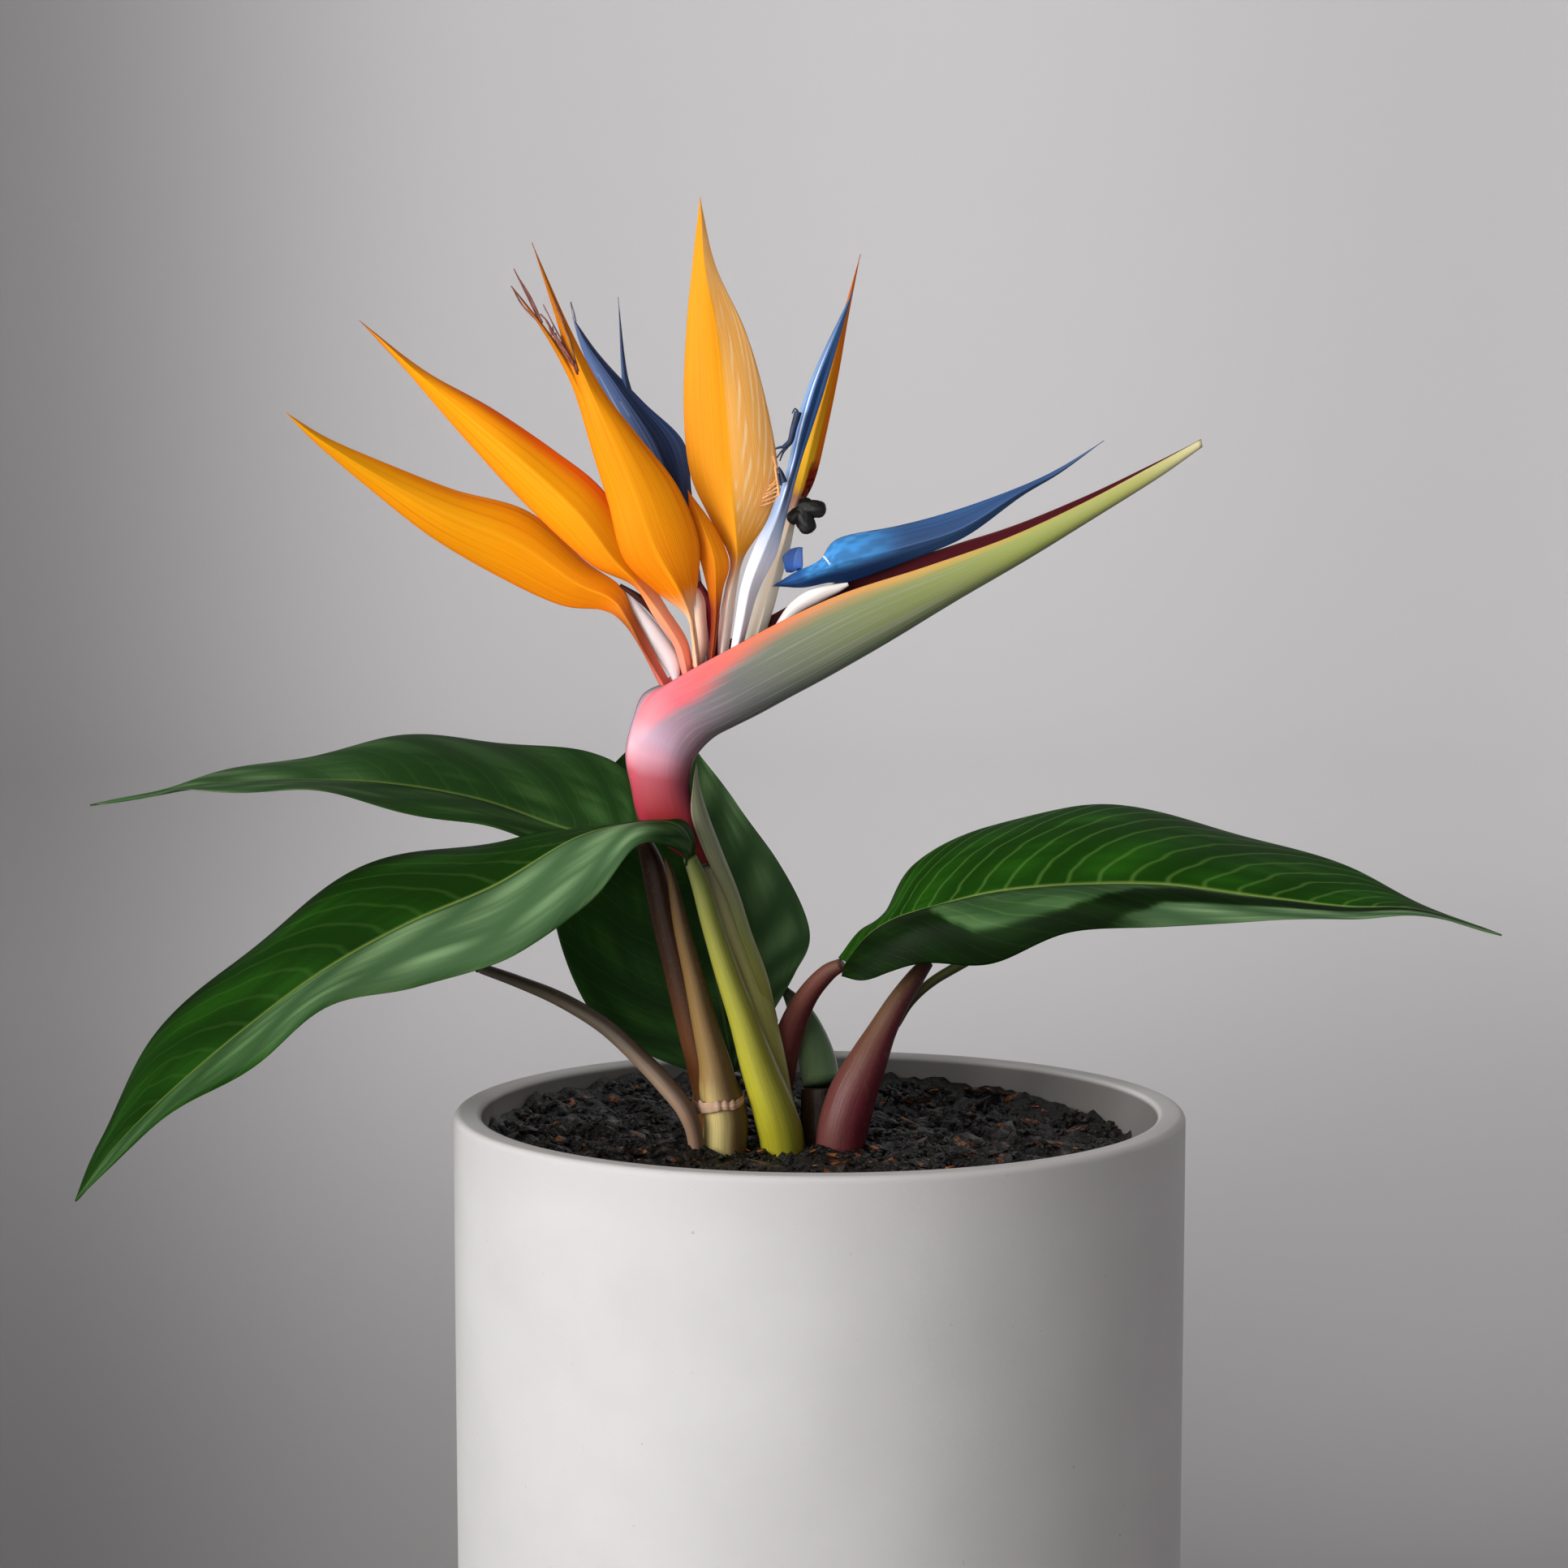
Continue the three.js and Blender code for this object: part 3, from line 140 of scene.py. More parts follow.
# Blades, from the stalk end to the tip: left edge, midrib and right edge as x, y and z, then how far each
# half is arched, in millimetres. The arches are left out where they are 0, and a tip is one point.
LEAF_A = [
    (-60, 24, 316.5, -59.5, 26, 317.5, -58.5, 28, 319),
    (-69, 31, 312, -69, 33, 315.5, -62, 50, 334, 0, 1),
    (-92.5, 34, 313.5, -85.5, 40, 318, -78.5, 62, 341, 0, 2),
    (-117, 32, 321, -113.5, 44, 327, -109, 70, 344.5, 1, 3),
    (-149, 30, 327.5, -145, 48, 332, -143, 74, 344.5, 1, 4),
    (-178.5, 34, 331.5, -176.5, 54, 332.5, -176.5, 76, 338.5, 1, 2),
    (-208, 48, 330, -206.5, 60, 330.5, -206.5, 76, 331.5, 0, 1),
    (-225.5, 66, 326, -225.5, 69, 326.5, -225.5, 72, 327),
    (-248, 74, 322),
]
LEAF_B = [
    (-44, 6, 309.5, -42.5, 7, 311.5, -41, 8.5, 312.5),
    (-44.5, 2, 313.5, -42.5, 4.5, 318.5, -41, 7, 320.5),
    (-49, -4, 317.5, -48, 0, 324.5, -46, 6, 324, 1, 0),
    (-60, -12, 317, -61.5, -2, 324.5, -60, 10, 322, 3, 1),
    (-75.5, -20, 301.5, -80, -2, 319.5, -78, 24, 318, 4, 2),
    (-99.5, -28, 283, -105.5, -4, 304.5, -102.5, 25, 317, 4, 3),
    (-129, -35, 277.5, -134, -10, 292.5, -136, 22, 311.5, 3, 4),
    (-155, -42, 270, -161, -18, 278, -166.5, 14, 298.5, 2, 4),
    (-179, -48, 254.5, -186, -26, 260, -193, 4, 277.5, 2, 3),
    (-201, -54, 241, -207.5, -36, 242.5, -218.5, -12, 253, 1, 2),
    (-219, -59, 228, -224.5, -48, 226.5, -231, -36, 227.5),
    (-236.5, -60, 211),
]
LEAF_C = [
    (-30, 41, 236, -28.5, 39, 236, -27, 41, 236),
    (-46, 45, 236, -30.5, 43, 246, -17.5, 45, 251.5),
    (-74, 52, 250.5, -33.5, 48, 263.5, -8, 50, 267.5, -3, -3),
    (-89, 60, 282, -38.5, 56, 286, -3, 56, 281, -4, -4),
    (-88, 70, 309, -43, 66, 309.5, -13.5, 66, 303.5, -4, -4),
    (-75, 80, 330, -46.5, 76, 329, -27.5, 76, 322, -3, -3),
    (-60.5, 88, 343.5, -48.5, 86, 345, -39.5, 86, 336, -1, -1),
    (-49, 92, 351.5),
]
LEAF_D = [
    (6.5, 25, 276.5, 9, 22, 275.5, 7.5, 20, 271),
    (13.5, 26, 285, 16, 20, 284.5, 14, 12, 271, 0, 2),
    (21.5, 30, 291.5, 25, 18, 290.5, 24, 6, 274.5, 1, 5),
    (32, 38, 305, 37.5, 16, 294.5, 37.5, 0, 278.5, 2, 8),
    (56, 44, 318.5, 58, 12, 300, 57.5, -4, 279.5, 3, 9),
    (85, 42, 325, 83, 6, 303, 82.5, -8, 289, 4, 7),
    (114.5, 36, 323, 112, 0, 304, 111.5, -10, 292.5, 4, 3),
    (144.5, 26, 317, 142, -6, 301, 141.5, -13, 293.5, 3, 1),
    (172.5, 8, 309, 170.5, -12, 298.5, 170, -18, 295.5, 1, 0),
    (194.5, -12, 300, 193.5, -19, 298.5, 192.5, -23, 297.5),
    (219, -30, 292),
]
LEAF_F = [
    (37, 26, 278.5, 37.5, 24, 277.5, 38.5, 22, 276.5),
    (47, 54, 287.5, 47, 44, 282.5, 50.5, 34, 278.5, 1, 1),
    (66, 78, 298.5, 66.5, 62, 292, 69, 48, 284, 2, 2),
    (89, 94, 306, 89.5, 82, 300.5, 93, 68, 293, 1, 1),
    (116, 102, 308),
]
LEAF_G = [
    (-114, 38, 270.5, -114.5, 40, 271.5, -115, 42, 272),
    (-125.5, 44, 269, -127, 54, 274.5, -127, 66, 283, 1, 1),
    (-144.5, 58, 267.5, -146.5, 70, 275.5, -146.5, 86, 288, 2, 2),
    (-166, 76, 266.5, -168.5, 86, 273.5, -168.5, 98, 283.5, 1, 1),
    (-186.5, 100, 268.5),
]
SEPAL_1 = [
    (-50.5, 19.5, 363.5, -48, 17.5, 363, -46, 19.5, 363.5),
    (-54, 17, 371, -52, 15, 370.5, -50, 17, 371),
    (-59.5, 17, 381.5, -57.5, 14.5, 380, -55.5, 17, 381.5),
    (-65, 19, 389, -63, 16.5, 390, -61, 19, 392),
    (-71.5, 22, 392.5, -68.5, 19, 396.5, -65.5, 22, 400.5),
    (-85, 24, 394, -80.5, 19, 402, -77, 24, 408.5, 0, 1),
    (-103.5, 22, 402.5, -99, 16, 415, -95.5, 22, 425, 1, 1),
    (-126.5, 16, 416.5, -122.5, 11, 425.5, -119.5, 16, 432.5, 1, 1),
    (-146.5, 9, 433, -143.5, 5.5, 437.5, -140, 9, 441),
    (-163, 2, 448, -161, 0.5, 449, -159.5, 2, 450),
    (-172.5, -4, 458.5),
]
SEPAL_2 = [
    (-45, 17, 371.5, -43, 15, 371, -41, 17, 373),
    (-48, 16, 381.5, -45.5, 13.5, 381.5, -43.5, 16, 383.5),
    (-54, 14.5, 390.5, -52, 12.5, 392, -50, 14.5, 394),
    (-61, 15, 401, -58.5, 12, 401, -55, 15, 403),
    (-73.5, 16, 407, -67.5, 11, 410, -60, 16, 415, 1, 0),
    (-87, 17, 418.5, -78.5, 11, 424.5, -71, 17, 432.5, 1, 0),
    (-103, 18, 434.5, -95.5, 13, 440.5, -86.5, 18, 445, 1, 0),
    (-120.5, 19, 454, -114, 15.5, 455.5, -106.5, 19, 458.5, 0, 1),
    (-135.5, 20, 471.5, -132.5, 18, 471.5, -129.5, 20, 471.5),
    (-150.5, 22, 487.5),
]
SEPAL_3 = [
    (-41.5, 15, 374.5, -40, 13.5, 374, -39, 15, 375),
    (-42, 12.5, 384.5, -41, 11, 384.5, -40, 12.5, 384.5),
    (-44, 10.5, 392, -42.5, 8.5, 392.5, -41, 10.5, 394),
    (-54, 9.5, 400, -46.5, 5.5, 401.5, -39.5, 9.5, 404),
    (-64, 9, 410.5, -54, 4, 414.5, -39.5, 9, 417.5, 1, 1),
    (-69, 8, 429, -60.5, 3, 433, -46.5, 8, 434.5, 1, 1),
    (-75, 7, 449, -68.5, 3, 452, -58.5, 7, 450, 1, 1),
    (-79.5, 6, 466, -75.5, 3.5, 468, -70, 6, 465),
    (-84, 5, 483.5, -82.5, 4, 484.5, -80.5, 5, 484.5),
    (-93, 3, 513),
]
SEPAL_3_PRONG = [
    (-76, 7, 453, -73.5, 4.5, 454, -71.5, 7, 455),
    (-81, 6.5, 468, -79.5, 5, 468.5, -78, 6.5, 469.5),
    (-89.5, 5, 484, -88.5, 4, 484, -88, 5, 484.5),
    (-99.5, 3, 498.5),
]
SEPAL_4 = [
    (-33.5, 18, 372, -32.5, 16.5, 371, -31, 18, 372),
    (-33, 18, 388.5, -31, 16, 387.5, -28.5, 18, 388.5),
    (-31, 18, 400, -29, 16, 400, -27, 18, 400),
    (-29.5, 18.5, 410, -27, 16, 410, -24.5, 18.5, 410.5),
    (-36, 20, 423, -28, 15, 423, -17, 20, 422.5),
    (-42.5, 21, 438, -29.5, 16, 436.5, -13.5, 21, 436.5, 1, 1),
    (-44.5, 22, 459.5, -31, 18, 457, -17, 22, 459, 1, 1),
    (-43.5, 22, 485, -33.5, 19, 483, -24, 22, 483.5, 1, 0),
    (-41.5, 22, 506, -37.5, 20.5, 505, -34, 22, 505.5),
    (-39, 22, 527.5),
]
SEPAL_5 = [
    (-26, 20, 375, -23.5, 18, 374, -21, 20, 375.5),
    (-23, 21, 390, -19, 18, 390, -15.5, 21, 391.5),
    (-18.5, 22.5, 401.5, -15.5, 20, 401.5, -12.5, 22.5, 402.5),
    (-14.5, 24, 412.5, -12, 21.5, 413, -9.5, 24, 413),
    (-11, 25, 423.5, -9, 23, 423.5, -7, 25, 424),
    (-10, 26, 435.5, -5.5, 23, 435, -1.5, 26, 435),
    (-5.5, 27, 451.5, -1.5, 24.5, 451, 2.5, 27, 451),
    (0.5, 28, 470, 3.5, 26, 470, 6.5, 28, 470.5),
    (7, 29, 487.5, 8, 28, 487.5, 9.5, 29, 488),
    (13.5, 30, 509),
]
SEPAL_6 = [
    (-37, 17, 372, -36, 16, 371.5, -35, 17, 372.5),
    (-35.5, 14.5, 389.5, -34, 13, 389.5, -33, 14.5, 390),
    (-36.5, 13.5, 399, -34, 12, 399, -31.5, 13.5, 400),
    (-39, 13, 409.5, -34.5, 11, 410, -29.5, 13, 409),
    (-42, 13, 420.5, -38, 11.5, 420.5, -34, 13, 420),
    (-43, 13, 432.5),
]
PETAL_1 = [
    (-38, 20, 371.5, -36.5, 19, 370.5, -35.5, 20, 371.5),
    (-40, 22, 389, -38.5, 20.5, 389, -36.5, 22, 389),
    (-44.5, 24, 406, -42, 22, 406.5, -39.5, 24, 407),
    (-54, 25, 427.5, -48, 22.5, 429.5, -42, 25, 431.5),
    (-63.5, 26, 445, -54.5, 23, 447.5, -44.5, 26, 447.5),
    (-71.5, 26.5, 462, -65.5, 24, 464.5, -58, 26.5, 461),
    (-78, 27, 478, -75.5, 25, 478.5, -72, 27, 476),
    (-81, 27, 488.5),
]
PETAL_1_PRONG = [
    (-63.5, 26.5, 457, -61, 25, 457.5, -59, 26.5, 458),
    (-65, 27, 470, -64, 26, 470, -63, 27, 470),
    (-66, 28, 495),
]
PETAL_2 = [
    (-30, 14.5, 374.5, -28.5, 13, 373.5, -26.5, 14.5, 375.5),
    (-27.5, 13.5, 390.5, -25, 11.5, 390, -22.5, 13.5, 391),
    (-25.5, 13.5, 402, -22.5, 11, 401.5, -19.5, 13.5, 400.5),
    (-21.5, 14.5, 413.5, -18, 12, 413, -14, 14.5, 411.5),
    (-15.5, 16, 426, -13, 14, 425.5, -10.5, 16, 425),
    (-10.5, 17, 440, -8.5, 15, 440, -6, 17, 441.5),
    (-7.5, 18, 454.5, -4.5, 16, 455, -1.5, 18, 455),
    (-2, 19, 470.5, 0.5, 17.5, 471, 3.5, 19, 471),
    (11, 21, 497.5),
]
PETAL_3 = [
    (-14, 20, 401.5, -14.5, 19.5, 401, -13.5, 20, 400.5),
    (-8, 15, 405.5, -7, 13, 403.5, -5, 15, 400.5),
    (0, 15, 409.5, 1, 11.5, 406.5, 3, 15, 402),
    (6.5, 17, 416.5, 9, 12.5, 409.5, 11, 17, 402.5, 1, 0),
    (26, 18, 420.5, 27.5, 14, 414, 29, 18, 409, 1, 0),
    (44, 18, 425.5, 46.5, 15, 420, 48, 18, 417),
    (63.5, 18, 432.5, 64.5, 16, 431, 66, 18, 430),
    (77.5, 17, 439, 78.5, 16, 438.5, 79, 17, 438),
    (93, 16, 448.5),
]
PETAL_SCRAP = [
    (-11, 15.5, 405.5, -9, 16, 405.5, -7, 15.5, 406.5),
    (-11.5, 16, 407.5, -8.5, 16.8, 407, -5.5, 16, 407),
    (-12, 16.5, 410.5, -8, 17.5, 411, -5.5, 16.5, 411.5),
    (-9.5, 16.5, 413, -7, 17, 413.5, -5.5, 16.5, 413.5),
]

# Stems: points x, y and z of the axis with the radius there, in millimetres. STALK_BRACT has a blade's rows.
FLOWER_STALK = [
    (-12, 26.5, 212, 5.6), (-14.5, 26, 230, 5.6), (-18, 25, 249.5, 5.5), (-23, 24, 269.5, 4.9),
    (-28.5, 23, 285, 4.6), (-33.5, 21.5, 299, 4.6), (-37, 20.3, 307.8, 4.8),
]
STALK_BRACT = [
    (-15.5, 23.5, 255.5, -14, 25.5, 255, -15.5, 27.5, 255.5),
    (-21, 18.5, 270.5, -17.5, 24, 270.5, -21, 29.5, 270.5, 1, 1),
    (-26, 17, 284.5, -22.5, 23, 284.5, -26, 29, 284.5, 1, 1),
    (-31, 15.5, 298.5, -27, 21.5, 298.5, -31, 27.5, 298.5, 1.5, 1.5),
    (-37.5, 11.5, 312.5, -32.5, 19.5, 312, -37, 27, 312.5, 2, 2),
    (-42, 11.5, 325.5, -37.5, 18.5, 326, -42, 25, 325.5, 2, 2),
    (-41.5, 14.5, 336, -40, 17.5, 336, -41.5, 20.5, 336, 0.5, 0.5),
    (-40.5, 17, 342.5),
]
PETIOLE_A = [
    (-34, 25.5, 214, 5.3), (-37, 25.5, 231.5, 5.2), (-41.5, 25, 250.5, 5), (-46.5, 25, 271, 4.8),
    (-51.5, 25, 290.5, 4.5), (-55, 25.5, 306.5, 4), (-58, 26, 315.5, 2.6),
]
PETIOLE_B = [
    (-12, 13, 214, 7.2), (-14.5, 12.5, 226, 7.2), (-20, 12.5, 242, 6), (-25, 12, 258, 4.8),
    (-30.5, 11.5, 274, 4.1), (-35.5, 11, 290, 3.5), (-39, 10, 303, 3.1), (-42.5, 7.5, 312.5, 2.3),
]
PETIOLE_C = [
    (-31.5, 41, 213.5, 4.2), (-30.5, 41, 223, 4), (-29, 40, 235, 3),
]
PETIOLE_D = [
    (-16.5, 39, 211, 5.2), (-14.5, 38.5, 226.5, 5.2), (-11.5, 37, 242, 5), (-8, 34, 254, 4.4),
    (-3.5, 30, 263.5, 3.6), (2.5, 26, 271, 3), (7.5, 22.8, 274.5, 2.2),
]
PETIOLE_F = [
    (7, 14, 215, 8.2), (10.5, 14.5, 230.5, 8.2), (16, 15, 243, 6.6), (21, 16, 253.5, 4.8),
    (26, 17.5, 262.5, 3.8), (31.5, 20, 270, 3.1), (36, 22.5, 275.5, 2.2),
]
PETIOLE_G = [
    (-40.5, 6, 216, 2.6), (-43.5, 5, 227.5, 3), (-50.5, 8, 236.5, 3.2), (-60, 14, 245.5, 3),
    (-71.5, 21, 254.5, 2.8), (-86, 28, 262, 2.5), (-100, 34, 267, 2.1), (-113, 38.5, 271, 1.8),
]
SHEATH_TAN = [
    (-31, 12, 215, 7.2), (-31, 12, 225, 7.4), (-33, 12, 233.5, 6.7), (-34.5, 12, 243.5, 5.3),
    (-38, 12.5, 257.5, 4.2), (-41.5, 13, 272.5, 3.4), (-45.5, 13.5, 289, 2.7), (-48.5, 14, 304, 1.5),
    (-50.5, 14.5, 311, 0.6),
]
SHEATH_GREEN = [
    (1, 38, 232.5, 6.4), (-0.5, 43.5, 239.5, 6.2), (-3, 48, 247.5, 5.2), (-7, 51, 255.5, 3.6),
    (-12, 53, 262.5, 1),
]
OLD_LEAF_BASE = [
    (0.5, 32, 212.5, 6.8), (0.5, 33, 223, 6.6), (0.5, 34, 231, 6.2),
]
YOUNG_LEAF = [
    (25.8, 21.2, 254.5, 1.2), (30.5, 24, 262, 1.5), (38, 26.5, 268.5, 1.6), (50.5, 30, 275.5, 1.8),
    (65.5, 40, 284, 2.4), (82.5, 54, 295, 2.6), (100, 70, 303.5, 1.6), (113, 80, 308, 0.5),
]
BRACT_WHITE = [
    (-47, 17, 370, 1.2), (-49, 18.5, 376, 3), (-54.5, 20.5, 384.5, 3.2), (-59.5, 22, 391.5, 2.4),
    (-64.5, 23, 399.5, 0.8),
]
BRACT_BROWN = [
    (-44, 21, 372.5, 0.8), (-48, 21, 383.5, 1.4), (-54.5, 20, 392.5, 1.5), (-59.5, 19, 397, 1.2),
    (-65.5, 19, 401, 0.6),
]
BRACT_CREAM = [
    (-39, 19, 374.5, 0.8), (-38.5, 18.5, 381, 1.9), (-39, 18, 389.5, 2), (-39, 17.5, 395.5, 1.5),
    (-40, 17, 400, 0.6),
]
BRACT_MAROON = [
    (-34.5, 21, 376.5, 1.4), (-34.5, 22, 385, 2.4), (-35.5, 22, 393, 2.2), (-38, 22, 398.5, 1.2),
    (-39.5, 22, 402, 0.5),
]
CLAW_WHITE = [
    (-16.5, 18, 382.5, 1), (-8.5, 17.5, 393, 2.2), (-0.5, 17, 398, 2.6), (5.5, 16.5, 400, 1.6),
    (9.5, 16, 401.5, 0.6),
]

# Spathe: top edge (x, z), keel (x, z), middle y, half width and, after the wrap angle in radians and the
# groove's depth from 0 to 1, the wall, in millimetres
SPATHE = [
    (-44.5, 310.5, -34, 309, 20, 5.4, 2.75, 0, 1.6),
    (-51, 315.5, -36, 317, 19, 6.4, 2.75, 0, 1.6),
    (-58.5, 323, -39.5, 325.5, 18, 7.4, 2.75, 0, 1.6),
    (-61.5, 335, -42.5, 333.5, 17.5, 8, 2.75, 0, 1.6),
    (-63, 345.5, -42, 341, 17, 8, 2.75, 0, 1.6),
    (-60.5, 356.5, -39.5, 346, 17, 8.4, 2.75, 0, 1.6),
    (-56, 364.5, -34.5, 351, 17, 9, 2.6, 0, 1.6),
    (-48.5, 370, -28, 354.5, 17, 9.5, 2.3, 0.2, 1.6),
    (-40, 375, -20, 358.5, 17, 9.6, 2.15, 0.4, 1.6),
    (-28, 381.5, -9, 364.5, 17, 9.6, 2.1, 0.45, 1.6),
    (-13, 389.5, 4, 371.5, 17, 9.2, 2.1, 0.6, 1.6),
    (8, 399, 23, 382.5, 16.5, 8, 2.15, 0.9, 1.5),
    (34.5, 407.5, 45, 396, 16, 6.4, 2.2, 0.9, 1.3),
    (61.5, 417, 68, 409.5, 15.5, 4.8, 2.25, 0.85, 1.1),
    (86.5, 428.5, 90.5, 423.5, 15, 3.2, 2.3, 0.7, 1),
    (109, 440.5, 111, 436.5, 14.5, 1.8, 2.5, 0.3, 0.8),
    (124.5, 449, 125, 446.5, 14, 1.1, 2.7, 0, 0.5),
]

# Hairs, barbs and torn scraps that stand out of the petals: depth y, the radius at root and tip, and then
# the (x, z) points that each one passes, in millimetres
SEPAL_3_HAIRS = [
    (5, 0.5, 0.2, (-90.5, 487.5), (-94.5, 495.5), (-99, 504.5)),
    (4.5, 0.5, 0.2, (-90, 487), (-93.5, 495), (-97, 501)),
    (5.5, 0.45, 0.2, (-91, 487.5), (-96, 494), (-100, 499)),
    (4, 0.4, 0.2, (-91, 487.5), (-96, 492.5), (-99.5, 498.5)),
    (4, 0.35, 0.18, (-78.5, 470.5), (-82, 478.5), (-86, 486), (-89.5, 493)),
    (3.5, 0.35, 0.18, (-78.5, 471.5), (-80.5, 480), (-83, 487), (-86, 495)),
    (5, 0.45, 0.25, (-79, 472), (-84.5, 480), (-88, 487), (-90.5, 490)),
    (3, 0.4, 0.25, (-79.5, 474), (-85.5, 483), (-88.5, 487.5)),
    (4.5, 0.35, 0.2, (-79.5, 474), (-81.5, 479.5), (-84.5, 489)),
    (3.5, 0.3, 0.2, (-86.5, 483), (-87.5, 485.5), (-88, 487.5)),
    (3.5, 0.3, 0.2, (-84.5, 480), (-86, 483.5), (-86.5, 486)),
    (3.5, 0.3, 0.2, (-82.5, 478), (-84.5, 480.5), (-85.5, 484)),
    (3.5, 0.3, 0.2, (-81.5, 476.5), (-83, 479.5), (-84, 483)),
]
PETAL_1_HAIRS = [
    (26, 0.45, 0.2, (-80.5, 488.5), (-81, 491), (-81.5, 493.5)),
    (25, 0.45, 0.2, (-80, 487), (-80.5, 490), (-81, 492)),
    (27, 0.45, 0.2, (-62, 464.5), (-63.5, 470), (-65, 475)),
    (27.5, 0.4, 0.2, (-62, 463.5), (-63.5, 467), (-64.5, 471.5)),
]
SEPAL_4_HAIRS = [
    (16, 0.45, 0.25, (-19.5, 427), (-16.5, 428), (-13, 429.5)),
    (16, 0.45, 0.25, (-19, 428.5), (-16, 429.5), (-13, 431)),
    (16, 0.45, 0.25, (-18.5, 429.5), (-16, 431), (-13.5, 432)),
    (16, 0.45, 0.25, (-17.5, 431), (-15.5, 432), (-13.5, 433.5)),
    (16, 0.45, 0.25, (-17, 432), (-15.5, 433.5), (-13.5, 435)),
    (16, 0.45, 0.25, (-16.5, 433.5), (-15, 434.5), (-14, 436)),
    (16, 0.6, 0.4, (-13, 429), (-13.5, 433.5), (-14.5, 440)),
    (16, 0.5, 0.4, (-15, 443.5), (-14.5, 441.5), (-14, 439.5)),
]
PETAL_2_SCRAPS = [
    (13, 0.9, 1.3, (-11.5, 446.5), (-9.5, 448.5), (-8.5, 452.5), (-7.5, 456), (-7, 458)),
    (13, 1.1, 0.4, (-11.5, 435), (-12.5, 438), (-13.5, 440)),
    (13, 0.6, 0.3, (-10.5, 446.5), (-12.5, 446.5), (-14.5, 446)),
    (13, 0.4, 0.25, (-10.5, 447), (-12.5, 445), (-14, 443)),
    (13, 0.4, 0.25, (-10.5, 446.5), (-12, 444.5), (-13, 442)),
    (13, 0.35, 0.2, (-7, 458), (-8, 459), (-9, 457.5)),
    (13, 0.5, 0.3, (-12.5, 434), (-13, 435.5), (-13.5, 438)),
]

# Lobes of the withered scrap: start, end and radius in millimetres
LOBES = [
    ((-7, 21, 427), (1, 20.5, 425.5), 2.3),
    ((-6.5, 21, 426.5), (-3.5, 20.5, 419), 2.4),
    ((-4, 21, 426), (-9.5, 20.5, 422.5), 1.9),
    ((-4.5, 21, 425), (-4.5, 21.5, 429), 1.6),
]


# Shapes


def srgb(r, g, b):
    """Linear colour with alpha of a screen colour in percent."""
    c = np.array([r, g, b], float) / 100
    lin = np.where(c <= 0.04045, c / 12.92, ((c + 0.055) / 1.055) ** 2.4)
    return (*lin.tolist(), 1.0)


def spline(rows, t):
    """Rows of numbers at each t from 0 to 1, by a uniform Catmull-Rom spline through the given rows."""
    rows = np.asarray(rows, float)
    last = len(rows) - 1
    x = np.clip(t, 0, 1) * last
    i = np.minimum(x.astype(int), last - 1)
    f = (x - i)[:, None]
    ends = np.vstack([2 * rows[0] - rows[1], rows, 2 * rows[-1] - rows[-2]])
    a, b, c, d = (ends[i + k] for k in range(4))
    bend = a - 2.5 * b + 2 * c - d / 2
    turn = (d - a) / 2 + 1.5 * (b - c)
    return b + f * ((c - a) / 2 + f * (bend + f * turn))


def curve(points, t):
    """Height at each t of a smooth line through (place, height) points, flat outside them."""
    xs, ys = np.array(points, float).T
    t = np.clip(t, xs[0], xs[-1])
    i = np.clip(np.searchsorted(xs, t) - 1, 0, len(xs) - 2)
    f = (t - xs[i]) / (xs[i + 1] - xs[i])
    return ys[i] + (ys[i + 1] - ys[i]) * f * f * (3 - 2 * f)


def step(a, b, x):
    """Smooth step from 0 at a to 1 at b."""
    f = np.clip((x - a) / (b - a), 0, 1)
    return f * f * (3 - 2 * f)


def unit(v):
    """Vectors along the last axis at length 1."""
    return v / np.maximum(np.linalg.norm(v, axis=-1, keepdims=True), 1e-9)


def lattice(x, y, seed):
    """Smooth value noise from 0 to 1 at points of a plane, from a seeded grid that wraps."""
    grid = np.random.default_rng(seed).random((64, 64))
    i, j = np.floor(x).astype(int), np.floor(y).astype(int)
    f, g = x - i, y - j
    f, g = f * f * (3 - 2 * f), g * g * (3 - 2 * g)
    at = lambda a, b: grid[(i + a) % 64, (j + b) % 64]
    low = at(0, 0) * (1 - f) + at(1, 0) * f
    high = at(0, 1) * (1 - f) + at(1, 1) * f
    return low * (1 - g) + high * g


def full_row(row):
    """A blade's row with the tip's point repeated and the arches that were left out."""
    return [*(row * 3 if len(row) == 3 else row), 0, 0][:11]


